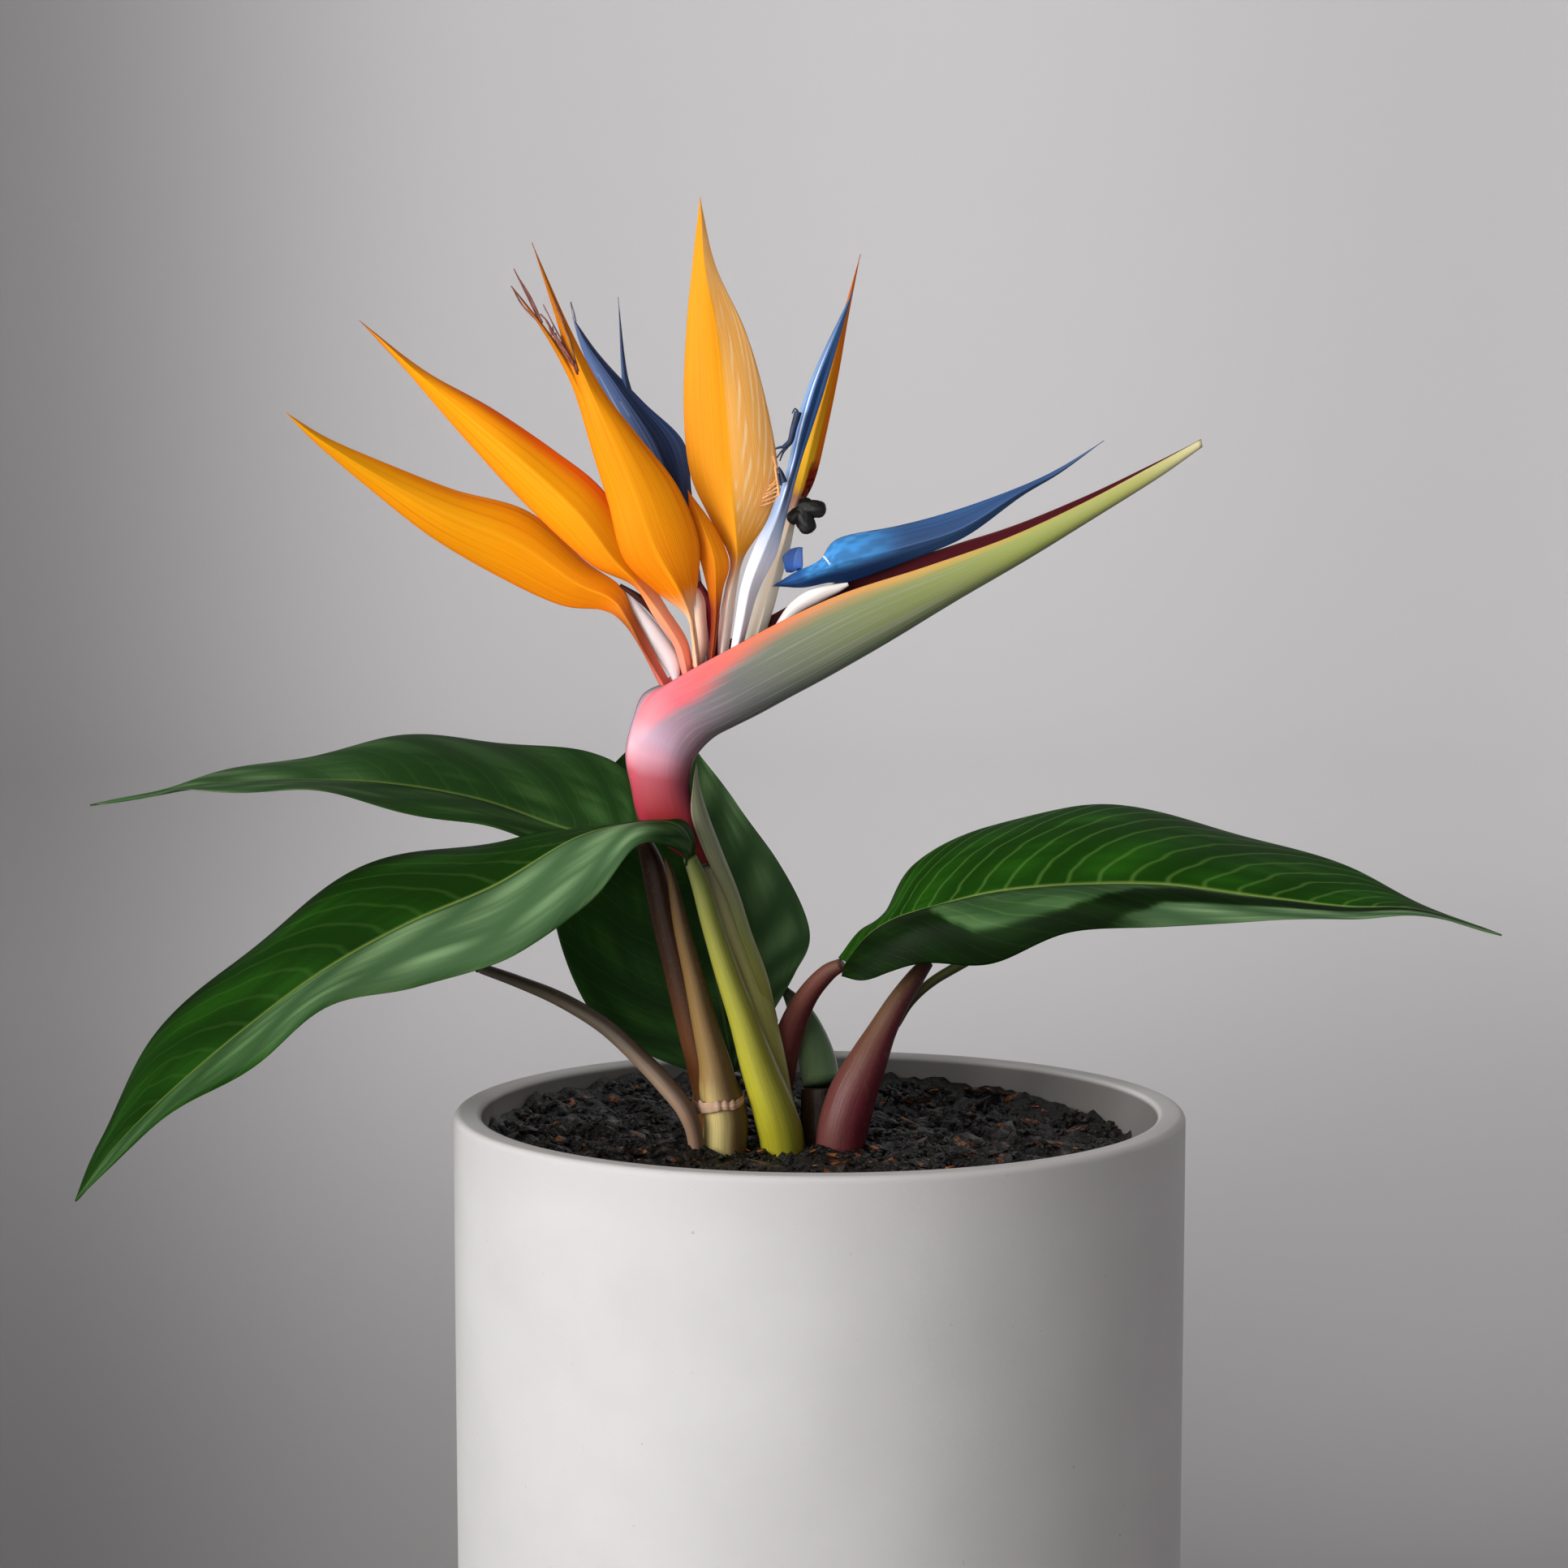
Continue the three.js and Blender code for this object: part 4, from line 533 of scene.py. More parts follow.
def blade(
    rows, nu, nv, thick=0.9, claw=0.9, claw_end=0.3, rib=0.0, wave=0.0, waves=3, ripple=None, folded=False
):
    """Rings round a curved blade, with their (u, v, side) places.

    The middle surface joins left edge, midrib and right edge of each cross-section, each half arched by
    4w(1-w) times its row's rise, plus a ripple that grows towards the edges. The two faces lie half the
    thickness off it along its normal, and the rib stands out on the lower face. A folded blade's faces lie
    off it along the fold's own normal, so that they don't cross.
    """
    rows = [full_row(row) for row in rows]
    u = np.linspace(0, 1, nu)
    v = np.linspace(-1, 1, 2 * nv + 1)
    row = spline(rows, u)
    mid = row[:, 3:6]
    along = unit(spline(rows, u + 0.01)[:, 3:6] - spline(rows, u - 0.01)[:, 3:6])
    reach = np.stack([row[:, 0:3] - mid, row[:, 6:9] - mid], 1)
    way = unit(reach[0])
    for i in range(nu):
        for s in range(2):
            if np.linalg.norm(reach[i, s]) > TIP_HALF:
                way[s] = unit(reach[i, s])
            else:
                reach[i, s] = way[s] * TIP_HALF
    up = np.stack([unit(np.cross(along, reach[:, 0])), unit(np.cross(reach[:, 1], along))], 1)
    s = (v > 0).astype(int)
    w = np.abs(v)
    uu = u[:, None]
    swell = wave * np.sin(np.pi * uu) * w * w * np.sin(2 * np.pi * waves * uu + 2 * s)
    rise = 4 * w * (1 - w) * row[:, 9:11][:, s] + swell
    if ripple is not None:
        rise = rise + ripple(uu, v)
    middle = mid[:, None] + reach[:, s] * w[None, :, None] + up[:, s] * rise[..., None]
    out = unit(np.cross(np.gradient(middle, axis=1), np.gradient(middle, axis=0)))
    body = claw + (thick - claw) * step(0, claw_end, uu)
    body = body * np.clip(0.3 + np.linalg.norm(reach, axis=-1).max(1) / 2, 0, 1)[:, None]
    half = (EDGE + (np.maximum(body, EDGE) - EDGE) * (1 - v * v)) / 2
    if folded:
        spine = out[:, nv : nv + 1]
        half = half / np.maximum((out * spine).sum(-1), STEEPEST)
        out = np.broadcast_to(spine, out.shape)
    span = np.linalg.norm(reach, axis=-1)[:, s] * w
    ridge = rib * (1 - 0.85 * uu) * np.exp(-((span / 1.5) ** 2))
    top = middle + out * (half - 0.12 * ridge)[..., None]
    bottom = middle - out * (half + ridge)[..., None]
    rings = np.concatenate([top, bottom[:, ::-1]], 1)
    side = np.concatenate([np.ones_like(v), -np.ones_like(v)])
    return rings, places(rings, uu, np.concatenate([v, v[::-1]]), side)


def places(rings, u, across, side=0):
    """The three numbers stored at each point for the materials."""
    place = np.zeros(rings.shape)
    place[..., 0], place[..., 1], place[..., 2] = u, across, side
    return place


def stem(rows, nu, sides, flatten=1.0, shape=None):
    """Rings round an axis with a radius at each point, with their (u, angle from 0 to 1, 0) places.

    A ring lies square to the axis and starts on its +Y side; shape(u, angle) scales the radius.
    """
    u = np.linspace(0, 1, nu)
    row = spline(rows, u)
    along = unit(spline(rows, u + 0.02)[:, :3] - spline(rows, u - 0.02)[:, :3])
    side = unit(np.array([0.0, 1.0, 0.0]) - along * along[:, 1:2])
    cross = np.cross(along, side)
    angle = np.arange(sides) / sides
    turn = 2 * np.pi * angle
    r = np.maximum(row[:, 3:4], THINNEST) * np.ones(sides)
    if shape is not None:
        r = r * shape(u[:, None], turn)
    rings = row[:, None, :3] + side[:, None] * (r * flatten * np.cos(turn))[..., None]
    rings = rings + cross[:, None] * (r * np.sin(turn))[..., None]
    return rings, places(rings, u[:, None], angle)


def mesh_from(name, points, faces, stored=None):
    """Smooth object from points in millimetres, a list of face arrays and vectors stored at the points."""
    corners = np.concatenate([f.ravel() for f in faces])
    sizes = np.concatenate([np.full(len(f), f.shape[1]) for f in faces])
    mesh = bpy.data.meshes.new(name)
    mesh.vertices.add(len(points))
    mesh.vertices.foreach_set("co", (points * MM).astype(np.float32).ravel())
    mesh.loops.add(len(corners))
    mesh.loops.foreach_set("vertex_index", corners.astype(np.int32))
    mesh.polygons.add(len(sizes))
    starts = np.concatenate([[0], np.cumsum(sizes)[:-1]])
    mesh.polygons.foreach_set("loop_start", starts.astype(np.int32))
    mesh.polygons.foreach_set("use_smooth", np.ones(len(sizes), bool))
    mesh.update(calc_edges=True)
    if mesh.validate():
        raise RuntimeError(f"{name} has a faulty mesh")
    for key, values in (stored or {}).items():
        layer = mesh.attributes.new(key, "FLOAT_VECTOR", "POINT")
        layer.data.foreach_set("vector", values.astype(np.float32).ravel())
    thing = bpy.data.objects.new(name, mesh)
    bpy.context.scene.collection.objects.link(thing)
    return thing


def quads(rings, count):
    """Quads between each ring of count points and the next."""
    i = np.arange(rings - 1)[:, None] * count
    k = np.arange(count)
    nxt = (k + 1) % count
    return np.stack([i + k, i + nxt, i + count + nxt, i + count + k], -1).reshape(-1, 4)


def shell(rings):
    """Points and outward quads of a closed surface through rings, capped by strips across its end rings."""
    nu, n, _ = rings.shape
    points = rings.reshape(-1, 3)
    c = np.arange(n // 2 - 1)
    cap = np.stack([c, c + 1, n - 2 - c, n - 1 - c], -1)
    faces = np.concatenate([quads(nu, n), cap[:, ::-1], cap + (nu - 1) * n])
    a, b, c, d = (points[faces[:, j]] for j in range(4))
    volume = (a * np.cross(b, c)).sum() + (a * np.cross(c, d)).sum()
    return points, faces if volume > 0 else faces[:, ::-1]


def joined(shells):
    """Points and faces of several closed surfaces as one."""
    points, faces, start = [], [], 0
    for rings in shells:
        p, f = shell(rings)
        points.append(p)
        faces.append(f + start)
        start += len(p)
    return np.concatenate(points), faces


def solid(name, shells, material, nodes, tones=None):
    """One object from one or more (rings, place) shells, put on the frame in place of CAD nodes."""
    points, faces = joined([rings for rings, _ in shells])
    place = np.concatenate([place.reshape(-1, 3) for _, place in shells])
    stored = {"place": place}
    if tones is not None:
        u, v = place.T[:2]
        stored["tone"] = np.stack([0 * u + tone for tone in tones(u, v)], 1)
    return settle(mesh_from(name, points, faces, stored), material, nodes)


def settle(thing, material, nodes):
    """Gives a finished piece its material and its place on the frame."""
    thing.data.materials.append(material)
    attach(thing, "root")
    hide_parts(*nodes)


# Materials


class Shader:
    """Adds nodes to one shader tree. A colour is a socket or a screen colour in percent."""

    def __init__(self, tree):
        self.tree = tree

    def give(self, socket, value):
        """Links a socket to another one, or sets it to a colour or number."""
        if isinstance(value, bpy.types.NodeSocket):
            self.tree.links.new(value, socket)
        else:
            socket.default_value = srgb(*value) if isinstance(value, tuple) else value

    def add(self, kind, settings=None, **inputs):
        """A node with its properties set and its inputs, by number or name, linked or given."""
        node = self.tree.nodes.new(kind)
        for key, value in (settings or {}).items():
            setattr(node, key, value)
        for key, value in inputs.items():
            socket = node.inputs[int(key[1:]) if key[1:].isdigit() else key.replace("_", " ")]
            self.give(socket, value)
        return node

    def calc(self, operation, *values):
        """One arithmetic node's value."""
        inputs = {f"i{k}": value for k, value in enumerate(values)}
        return self.add("ShaderNodeMath", {"operation": operation}, **inputs).outputs[0]

    def times(self, first, *more):
        """Product of two or more values."""
        for value in more:
            first = self.calc("MULTIPLY", first, value)
        return first

    def line(self, value, by, plus):
        """A value times another, plus a third."""
        return self.calc("MULTIPLY_ADD", value, by, plus)

    def minus(self, a, b):
        """Difference of two values."""
        return self.calc("SUBTRACT", a, b)

    def fade(self, value, low, high):
        """0 below low, 1 above high, smooth between."""
        settings = {"interpolation_type": "SMOOTHSTEP"}
        return self.add("ShaderNodeMapRange", settings, Value=value, From_Min=low, From_Max=high).outputs[0]

    def blend(self, factor, a, b):
        """Two colours mixed."""
        return self.add("ShaderNodeMix", {"data_type": "RGBA"}, i0=factor, i6=a, i7=b).outputs[2]

    def ramp(self, factor, stops):
        """Colour along stops, each a place from 0 to 1 and a screen colour."""
        node = self.add("ShaderNodeValToRGB", i0=factor)
        elements = node.color_ramp.elements
        while len(elements) < len(stops):
            elements.new(0.5)
        for element, (place, *colour) in zip(elements, stops):
            element.position = place
            element.color = srgb(*colour)
        return node.outputs[0]

    def parts(self, vector):
        """The three parts of a vector."""
        return tuple(self.add("ShaderNodeSeparateXYZ", i0=vector).outputs)

    def read(self, name):
        """The three parts of a stored vector."""
        return self.parts(self.add("ShaderNodeAttribute", {"attribute_name": name}).outputs["Vector"])

    def vector(self, *values):
        """A vector from its parts."""
        return self.add("ShaderNodeCombineXYZ", **{f"i{k}": v for k, v in enumerate(values)}).outputs[0]

    def length(self, vector):
        """Length of a vector."""
        return self.add("ShaderNodeVectorMath", {"operation": "LENGTH"}, i0=vector).outputs["Value"]

    def where(self):
        """Place in the object's own metres."""
        return self.add("ShaderNodeTexCoord").outputs["Object"]

    def noise(self, vector, scale, detail):
        """Cloudy noise from 0 to 1."""
        return self.add("ShaderNodeTexNoise", Vector=vector, Scale=scale, Detail=detail).outputs["Fac"]

    def use(self, name, **inputs):
        """A use of a shader group made by make_groups."""
        return self.add("ShaderNodeGroup", {"node_tree": bpy.data.node_groups[name]}, **inputs).outputs


def group(name, inputs, outputs):
    """A new shader group with its sockets, and its in and out nodes."""
    tree = bpy.data.node_groups.new(name, "ShaderNodeTree")
    for label, value in inputs.items():
        socket = tree.interface.new_socket(label, in_out="INPUT", socket_type="NodeSocketFloat")
        socket.default_value = value
    for label in outputs:
        tree.interface.new_socket(label, in_out="OUTPUT", socket_type="NodeSocketFloat")
    return Shader(tree), tree.nodes.new("NodeGroupInput").outputs, tree.nodes.new("NodeGroupOutput").inputs


def make_groups():
    """The effects that several materials share."""
    if "Fibre" in bpy.data.node_groups:
        return
    t, given, made = group("Fibre", {"U": 0, "V": 0, "Side": 0, "Length": 4, "Count": 60}, ["Fine", "Broad"])
    for label, share, detail in (("Fine", 1.0, 3.0), ("Broad", 0.22, 2.0)):
        across = t.times(given["V"], given["Count"], share)
        where = t.vector(t.times(given["U"], given["Length"]), across, given["Side"])
        t.give(made[label], t.noise(where, 1.0, detail))

    sockets = {"U": 0, "V": 0, "Count": 20, "Sweep": 3, "Width": 0.2, "Rib": 0.03}
    t, given, made = group("Veins", sockets, ["Vein", "Band", "Rib", "Height"])
    across = t.calc("ABSOLUTE", given["V"])
    swept = t.times(t.calc("POWER", across, VEIN_BEND), given["Sweep"])
    line = t.line(given["U"], given["Count"], t.times(swept, -1.0))
    line = t.line(t.noise(t.vector(given["U"], given["V"]), 5.0, 1.0), 0.5, line)
    saw = t.calc("ABSOLUTE", t.minus(t.calc("FRACT", line), 0.5))
    vein = t.fade(t.times(saw, 2.0), t.minus(1.0, given["Width"]), 1.0)
    fine = t.times(t.calc("SINE", t.times(line, 37.7)), 0.5)
    t.give(made["Vein"], vein)
    t.give(made["Band"], t.line(t.calc("SINE", t.times(line, 1.9)), 0.5, 0.5))
    t.give(made["Rib"], t.minus(1.0, t.fade(across, 0.0, given["Rib"])))
    t.give(made["Height"], t.line(fine, 0.25, vein))

    t, given, made = group("Speckle", {"Scale": 300, "Amount": 0.5}, ["Spots", "Cloud"])
    spots = t.minus(t.noise(t.where(), given["Scale"], 4.0), 0.5)
    t.give(made["Spots"], t.line(spots, given["Amount"], 0.5))
    t.give(made["Cloud"], t.noise(t.where(), t.times(given["Scale"], 0.06), 4.0))


def surface(name, paint, roughness=0.5, bump=0.1, distance=0.5, **constants):
    """A Principled material; paint(shader) returns its colour and its height or None."""
    if name in bpy.data.materials:
        return bpy.data.materials[name]
    make_groups()
    material = bpy.data.materials.new(name)
    material.use_nodes = True
    t = Shader(material.node_tree)
    sockets = material.node_tree.nodes["Principled BSDF"].inputs
    for key, value in {"Roughness": roughness, **constants}.items():
        sockets[key.replace("_", " ")].default_value = value
    colour, height = paint(t)
    t.give(sockets["Base Color"], colour)
    if height is not None:
        node = t.add("ShaderNodeBump", Strength=bump, Distance=distance * MM, Height=height)
        t.give(sockets["Normal"], node.outputs[0])
    return material


def leaf_material():
    """Green blade with side veins, a pale rib and a duller underside.

    The stored tone holds how far the face shows a painted grey-green sheen, how far it is darkened, partly
    for the leaf's deep green and partly as painted shade, and how pale its rib is.
    """

    def paint(t):
        u, v, side = t.read("place")
        sheen, dark, pale = t.read("tone")
        veins = t.use("Veins", U=u, V=v, Count=VEIN_COUNT, Sweep=VEIN_SWEEP, Width=0.26, Rib=0.035)
        fibre = t.use("Fibre", U=u, V=v, Side=side, Length=3.0, Count=24.0)
        band = t.times(veins["Band"], t.fade(fibre["Broad"], 0.3, 0.7))
        green = t.blend(band, (8, 22, 2), (13, 32, 5))
        # light is the painted sheen's colour; shade is what darkening leads to, partly deep green, partly
        # painted shade
        light = t.blend(band, (27, 39, 25), (49, 61, 43))
        shade = t.blend(band, (4, 10, 2), (7, 15, 3.5))
        base = t.blend(dark, t.blend(sheen, green, light), shade)
        bold = t.times(t.line(t.calc("POWER", pale, 3.0), 0.22, 0.03), t.minus(1.1, sheen))
        base = t.blend(t.times(veins["Vein"], t.minus(1.0, dark), bold), base, (42, 58, 26))
        base = t.blend(t.times(veins["Rib"], pale), base, (47, 56, 27))
        under = t.calc("LESS_THAN", side, 0.0)
        base = t.blend(t.times(under, 0.55), base, (27, 36, 24))
        return base, t.line(fibre["Fine"], 0.3, veins["Height"])

    return surface("leaf", paint, 0.5, 0.2, 0.3, Specular_IOR_Level=0.06)


def petal_material(name, palette, claw_end=0.36, streak=0.4, tip_from=0.82, feather=0, patches=()):
    """Petal with lengthwise fibres.

    The palette holds the claw's two colours, then low, middle and tip, the tinted edge and the veins. A
    feather above 0 adds slanting pale streaks on the right half, and up to three patches are coloured by
    the stored tone.
    """
    foot, claw, low, middle, tip, edge, vein = palette

    def paint(t):
        u, v, side = t.read("place")
        fibre = t.use("Fibre", U=u, V=v, Side=side, Length=2.2, Count=46.0)
        fine, broad = fibre["Fine"], fibre["Broad"]
        stops = [
            (0.0, *foot),
            (claw_end * 0.75, *claw),
            (claw_end + 0.05, *low),
            (min(claw_end + 0.26, 0.8), *middle),
            (tip_from, *middle),
            (1.0, *tip),
        ]
        base = t.ramp(t.line(broad, 0.10, t.minus(u, 0.05)), stops)
        body = t.fade(u, claw_end - 0.04, claw_end + 0.08)
        away = t.calc("ABSOLUTE", v)
        base = t.blend(t.times(t.calc("POWER", away, 3.0), body, 0.6), base, edge)
        base = t.blend(t.times(t.fade(broad, 0.5, 0.72), body, 0.4), base, edge)
        crease = t.minus(1.0, t.fade(away, 0.0, 0.09))
        base = t.blend(t.times(crease, body, 0.45), base, vein)
        base = t.blend(t.times(t.fade(fine, 0.46, 0.62), streak), base, vein)
        if feather:
            slant = t.use("Veins", U=u, V=v, Count=15.0, Sweep=6.0, Width=0.6)
            right = t.times(t.fade(v, 0.0, 0.12), t.fade(u, 0.35, 0.5))
            base = t.blend(t.times(right, 0.48), base, (100, 79, 50))
            share = t.times(slant["Vein"], t.fade(broad, 0.4, 0.6), right, feather)
            base = t.blend(share, base, (100, 90, 72))
        if patches:
            for mask, colour in zip(t.read("tone"), patches):
                base = t.blend(mask, base, colour)
        return base, fine

    return surface(name, paint, 0.45, 0.25, 0.5, Specular_IOR_Level=0.08)


def stem_material(name, left, right, count=30.0, mottle=0.25):
    """Stalk whose colour runs along its length, by two rows of stops for its two sides: the lighter left and
    the darker right are partly the stalk's own colours and partly painted light and painted shade.
    """

    def paint(t):
        u, angle, _ = t.read("place")
        turn = t.times(angle, 2 * math.pi)
        about = t.line(t.calc("SINE", turn), 0.5, 0.5)
        ring = t.line(t.calc("COSINE", turn), 0.5, 0.5)
        fibre = t.use("Fibre", U=u, V=about, Side=ring, Length=2.5, Count=count)
        spots = t.use("Speckle", Scale=700.0, Amount=1.0)
        drift = t.line(fibre["Broad"], 0.12, t.minus(u, 0.06))
        mix = t.fade(t.line(fibre["Broad"], 0.3, about), 0.35, 0.95)
        base = t.blend(mix, t.ramp(drift, right), t.ramp(drift, left))
        base = t.blend(t.times(t.fade(fibre["Fine"], 0.5, 0.72), mottle), base, (16, 12, 7))
        base = t.blend(t.times(t.fade(spots["Spots"], 0.55, 0.75), mottle * 0.5), base, (55, 48, 33))
        return base, fibre["Fine"]

    return surface(name, paint, 0.4, 0.35, 0.5, Specular_IOR_Level=0.25)


# Colours of the spathe from its foot to its tip, at its top edge, on its flank and at its keel. The pale pink
# stops near 0.27 of top edge and flank are a painted highlight across the neck, and the keel's darker colours
# are partly painted shade on the underside.
SPATHE_TOP = [
    (0.0, 58, 16, 20), (0.15, 66, 20, 26), (0.22, 78, 34, 40), (0.27, 97, 74, 78), (0.33, 90, 54, 58),
    (0.41, 92, 42, 47), (0.52, 94, 44, 42), (0.62, 94, 52, 35), (0.72, 88, 66, 36), (0.86, 74, 68, 38),
    (1.0, 82, 78, 56),
]
SPATHE_FLANK = [
    (0.0, 52, 14, 16), (0.14, 60, 18, 20), (0.21, 70, 32, 36), (0.26, 84, 60, 66), (0.30, 78, 64, 72),
    (0.36, 68, 55, 61), (0.42, 57, 52, 55), (0.52, 49, 49, 48), (0.62, 50, 53, 43), (0.72, 55, 59, 37),
    (0.82, 64, 68, 34), (0.92, 72, 72, 40), (1.0, 88, 84, 66),
]
SPATHE_KEEL = [
    (0.0, 36, 13, 16), (0.12, 44, 16, 22), (0.22, 50, 22, 28), (0.30, 50, 34, 38), (0.40, 40, 38, 39),
    (0.55, 36, 39, 37), (0.72, 38, 43, 32), (0.88, 45, 50, 28), (1.0, 74, 72, 52),
]


def spathe_material():
    """Neck and boat: three rows of colours along the length for the top edge, the flank and the keel, with a
    painted highlight across the neck.
    """

    def paint(t):
        u, q, side = t.read("place")
        fibre = t.use("Fibre", U=u, V=q, Side=side, Length=5.0, Count=34.0)
        noisy = t.line(fibre["Broad"], 0.18, t.minus(t.calc("ABSOLUTE", q), 0.09))
        base = t.blend(t.fade(noisy, 0.10, 0.55), t.ramp(u, SPATHE_KEEL), t.ramp(u, SPATHE_FLANK))
        low = t.line(t.fade(u, 0.26, 0.38), -0.18, 0.78)
        low = t.line(t.fade(u, 0.42, 0.62), 0.22, low)
        near_top = t.fade(t.minus(noisy, low), 0.0, 0.18)
        base = t.blend(near_top, base, t.ramp(u, SPATHE_TOP))
        below = t.line(near_top, -0.8, 1.0)
        lines = t.times(t.fade(fibre["Fine"], 0.5, 0.68), 0.45, below, t.fade(u, 0.2, 0.38))
        base = t.blend(lines, base, (68, 65, 65))
        inner = t.times(t.calc("LESS_THAN", side, 0.0), t.fade(u, 0.4, 0.5))
        return t.blend(inner, base, (34, 10, 13)), fibre["Fine"]

    return surface("spathe", paint, 0.42, 0.2, 0.4, Specular_IOR_Level=0.2)


def plain_material(name, dark, light, scale=300.0, roughness=0.6, bump=0.2):
    """Two colours mixed by a fine speckle and a cloud."""

    def paint(t):
        spots = t.use("Speckle", Scale=scale, Amount=1.2)
        mix = t.line(spots["Cloud"], 0.5, t.times(spots["Spots"], 0.5))
        return t.blend(t.fade(mix, 0.35, 0.65), dark, light), spots["Spots"]

    return surface(name, paint, roughness, bump, 0.4)


# Pot and soil


def pot_profile(p):
    """Outline of the pot's wall in (radius, height) pairs, from the inner floor's middle to the outer's."""
    rim, base, inner = p.rim_round, p.base_round, RIM_INNER_ROUND

    def arc(x, z, r, start, end, steps):
        a = np.radians(np.linspace(start, end, steps))
        return np.stack([x + r * np.cos(a), z + r * np.sin(a)], 1)

    knee = POT_HEIGHT - TAPER_DEPTH
    side = np.linspace(base, POT_HEIGHT - rim, 40)[1:-1]
    lean = POT_BASE_R + (POT_TOP_R - POT_BASE_R) * side / POT_HEIGHT
    return np.concatenate(
        [
            [[0.01, POT_FLOOR], [30, POT_FLOOR], [70, POT_FLOOR]],
            arc(POT_INNER_R - FLOOR_ROUND, POT_FLOOR + FLOOR_ROUND, FLOOR_ROUND, -90, 0, 8),
            np.stack([np.full(12, POT_INNER_R), np.linspace(POT_FLOOR + 16, knee - 3, 12)], 1),
            [[POT_INNER_R + 0.2, knee], [POT_INNER_R + 1, knee + 2.5]],
            np.linspace([POT_INNER_R + 1.6, knee + 4.5], [POT_MOUTH_R - 0.3, POT_HEIGHT - 4], 8),
            arc(POT_MOUTH_R + inner, POT_HEIGHT - inner, inner, 180, 90, 8),
            arc(POT_TOP_R - rim, POT_HEIGHT - rim, rim, 90, 0, 12),
            np.stack([lean, side], 1)[::-1],
            arc(POT_BASE_R - base, base, base, 0, -90, 8),
            [[70, 0], [30, 0], [0.01, 0]],
        ]
    )


def turned(profile, sides, wobble=0.0):
    """Rings of a profile turned about Z, its radius swelling a little by a slow wave round and up."""
    turn = 2 * np.pi * np.arange(sides) / sides
    r, z = profile[:, :1], profile[:, 1:]
    swell = 1 + wobble * np.sin(2 * turn + 0.6) * np.sin(z / 60) / 100
    return np.stack([r * swell * np.cos(turn), r * swell * np.sin(turn), z + 0 * turn], -1)


def soil_height(x, y):
    """Soil's surface: banked up towards the back and left, lumpy by crossed waves."""
    r = np.hypot(x, y) / POT_INNER_R
    bank = SOIL_BANK * r * (0.5 * r + (0.5 * y - 0.35 * x) / POT_INNER_R)
    lump = np.sin(0.13 * x + 1.7) * np.cos(0.11 * y) + 0.6 * np.sin(0.31 * x + 0.23 * y)
    return SOIL_LEVEL + bank + SOIL_LUMP * lump


def crumbs(count, seed, size, squash, reach):
    """Points and faces of many small rough lumps strewn on the soil, each a bent octahedron-like ball."""
    rng = np.random.default_rng(seed)
    base = [[1, 0, 0], [0, 1, 0], [-1, 0, 0], [0, -1, 0], [0, 0, 1], [0, 0, -1]]
    mids = np.array([[1, 1, 0], [-1, 1, 0], [-1, -1, 0], [1, -1, 0]], float) / 2**0.5
    shape = np.concatenate([base, mids])
    hoop = [0, 6, 1, 7, 2, 8, 3, 9]
    pairs = [(hoop[k], hoop[(k + 1) % 8]) for k in range(8)]
    faces = [[a, b, 4] for a, b in pairs] + [[b, a, 5] for a, b in pairs]
    n = len(shape)
    r = size[0] + (size[1] - size[0]) * rng.random(count) ** 2.5
    away = reach * np.sqrt(rng.random(count))
    angle = 2 * np.pi * rng.random(count)
    x, y = away * np.cos(angle), away * np.sin(angle)
    local = shape[None] * (0.65 + 0.7 * rng.random((count, n, 1)))
    local[..., 0] *= squash[0]
    local[..., 2] *= squash[1]
    tilt = rng.normal(0, 0.35, (count, 2))
    spin = 2 * np.pi * rng.random(count)
    c, s = np.cos(spin)[:, None], np.sin(spin)[:, None]
    lx, ly = local[..., 0] * c - local[..., 1] * s, local[..., 0] * s + local[..., 1] * c
    lz = local[..., 2] + lx * tilt[:, :1] + ly * tilt[:, 1:]
    px, py = x[:, None] + lx * r[:, None], y[:, None] + ly * r[:, None]
    keep = np.minimum(1, (POT_MOUTH_R - CRUMB_GAP) / np.maximum(np.hypot(px, py), 1))
    top = soil_height(x, y)[:, None] + lz * r[:, None] + 0.25 * r[:, None]
    points = np.stack([px * keep, py * keep, top], -1).reshape(-1, 3)
    index = (np.array(faces)[None] + n * np.arange(count)[:, None, None]).reshape(-1, 3)
    return points, index


def soil_parts(p):
    """Surface disc of the soil with its crumbs and bark chips; the tone holds what each point belongs to."""
    rings, sides = SOIL_GRID
    s = np.linspace(0, 1, rings)[:, None] ** 0.85
    turn = 2 * np.pi * np.arange(sides) / sides
    edge = POT_MOUTH_R - SOIL_GAP
    x, y = edge * s * np.cos(turn), edge * s * np.sin(turn)
    rough = lattice(x / 5, y / 5, 3) * 2.6 + lattice(x / 2.1, y / 2.1, 4) * 1.5 + lattice(x, y, 5) * 0.8
    ragged = (lattice(12 * turn, 0 * turn, 8) - 0.4) * 2.5 * s**30
    top = np.stack([x, y, soil_height(x, y) + p.soil_lumps * (rough - 2.4) + ragged], -1)
    wall = np.stack([x[-1] * 0.985, y[-1] * 0.985, np.full(sides, SOIL_FOOT)], -1)[None]
    points = np.concatenate([top, wall]).reshape(-1, 3)
    faces = [quads(rings + 1, sides)[:, [0, 3, 2, 1]]]
    kinds = [np.zeros(len(points))]
    lots = (
        (p.crumbs, 11, (0.5, 1.9), (1.2, 0.9), 0.5),
        (p.chips, 12, (1.0, 3.4), (2.1, 0.4), 1.0),
    )
    for count, seed, size, squash, kind in lots:
        more, index = crumbs(count, seed, size, squash, edge - 3)
        rng = np.random.default_rng(seed)
        kinds.append(np.repeat(kind - 0.35 * rng.random(count), len(more) // count))
        faces.append(index + len(points))
        points = np.concatenate([points, more])
    kind = np.concatenate(kinds)
    return points, faces, {"tone": np.stack([kind, 0 * kind, 0 * kind], 1)}


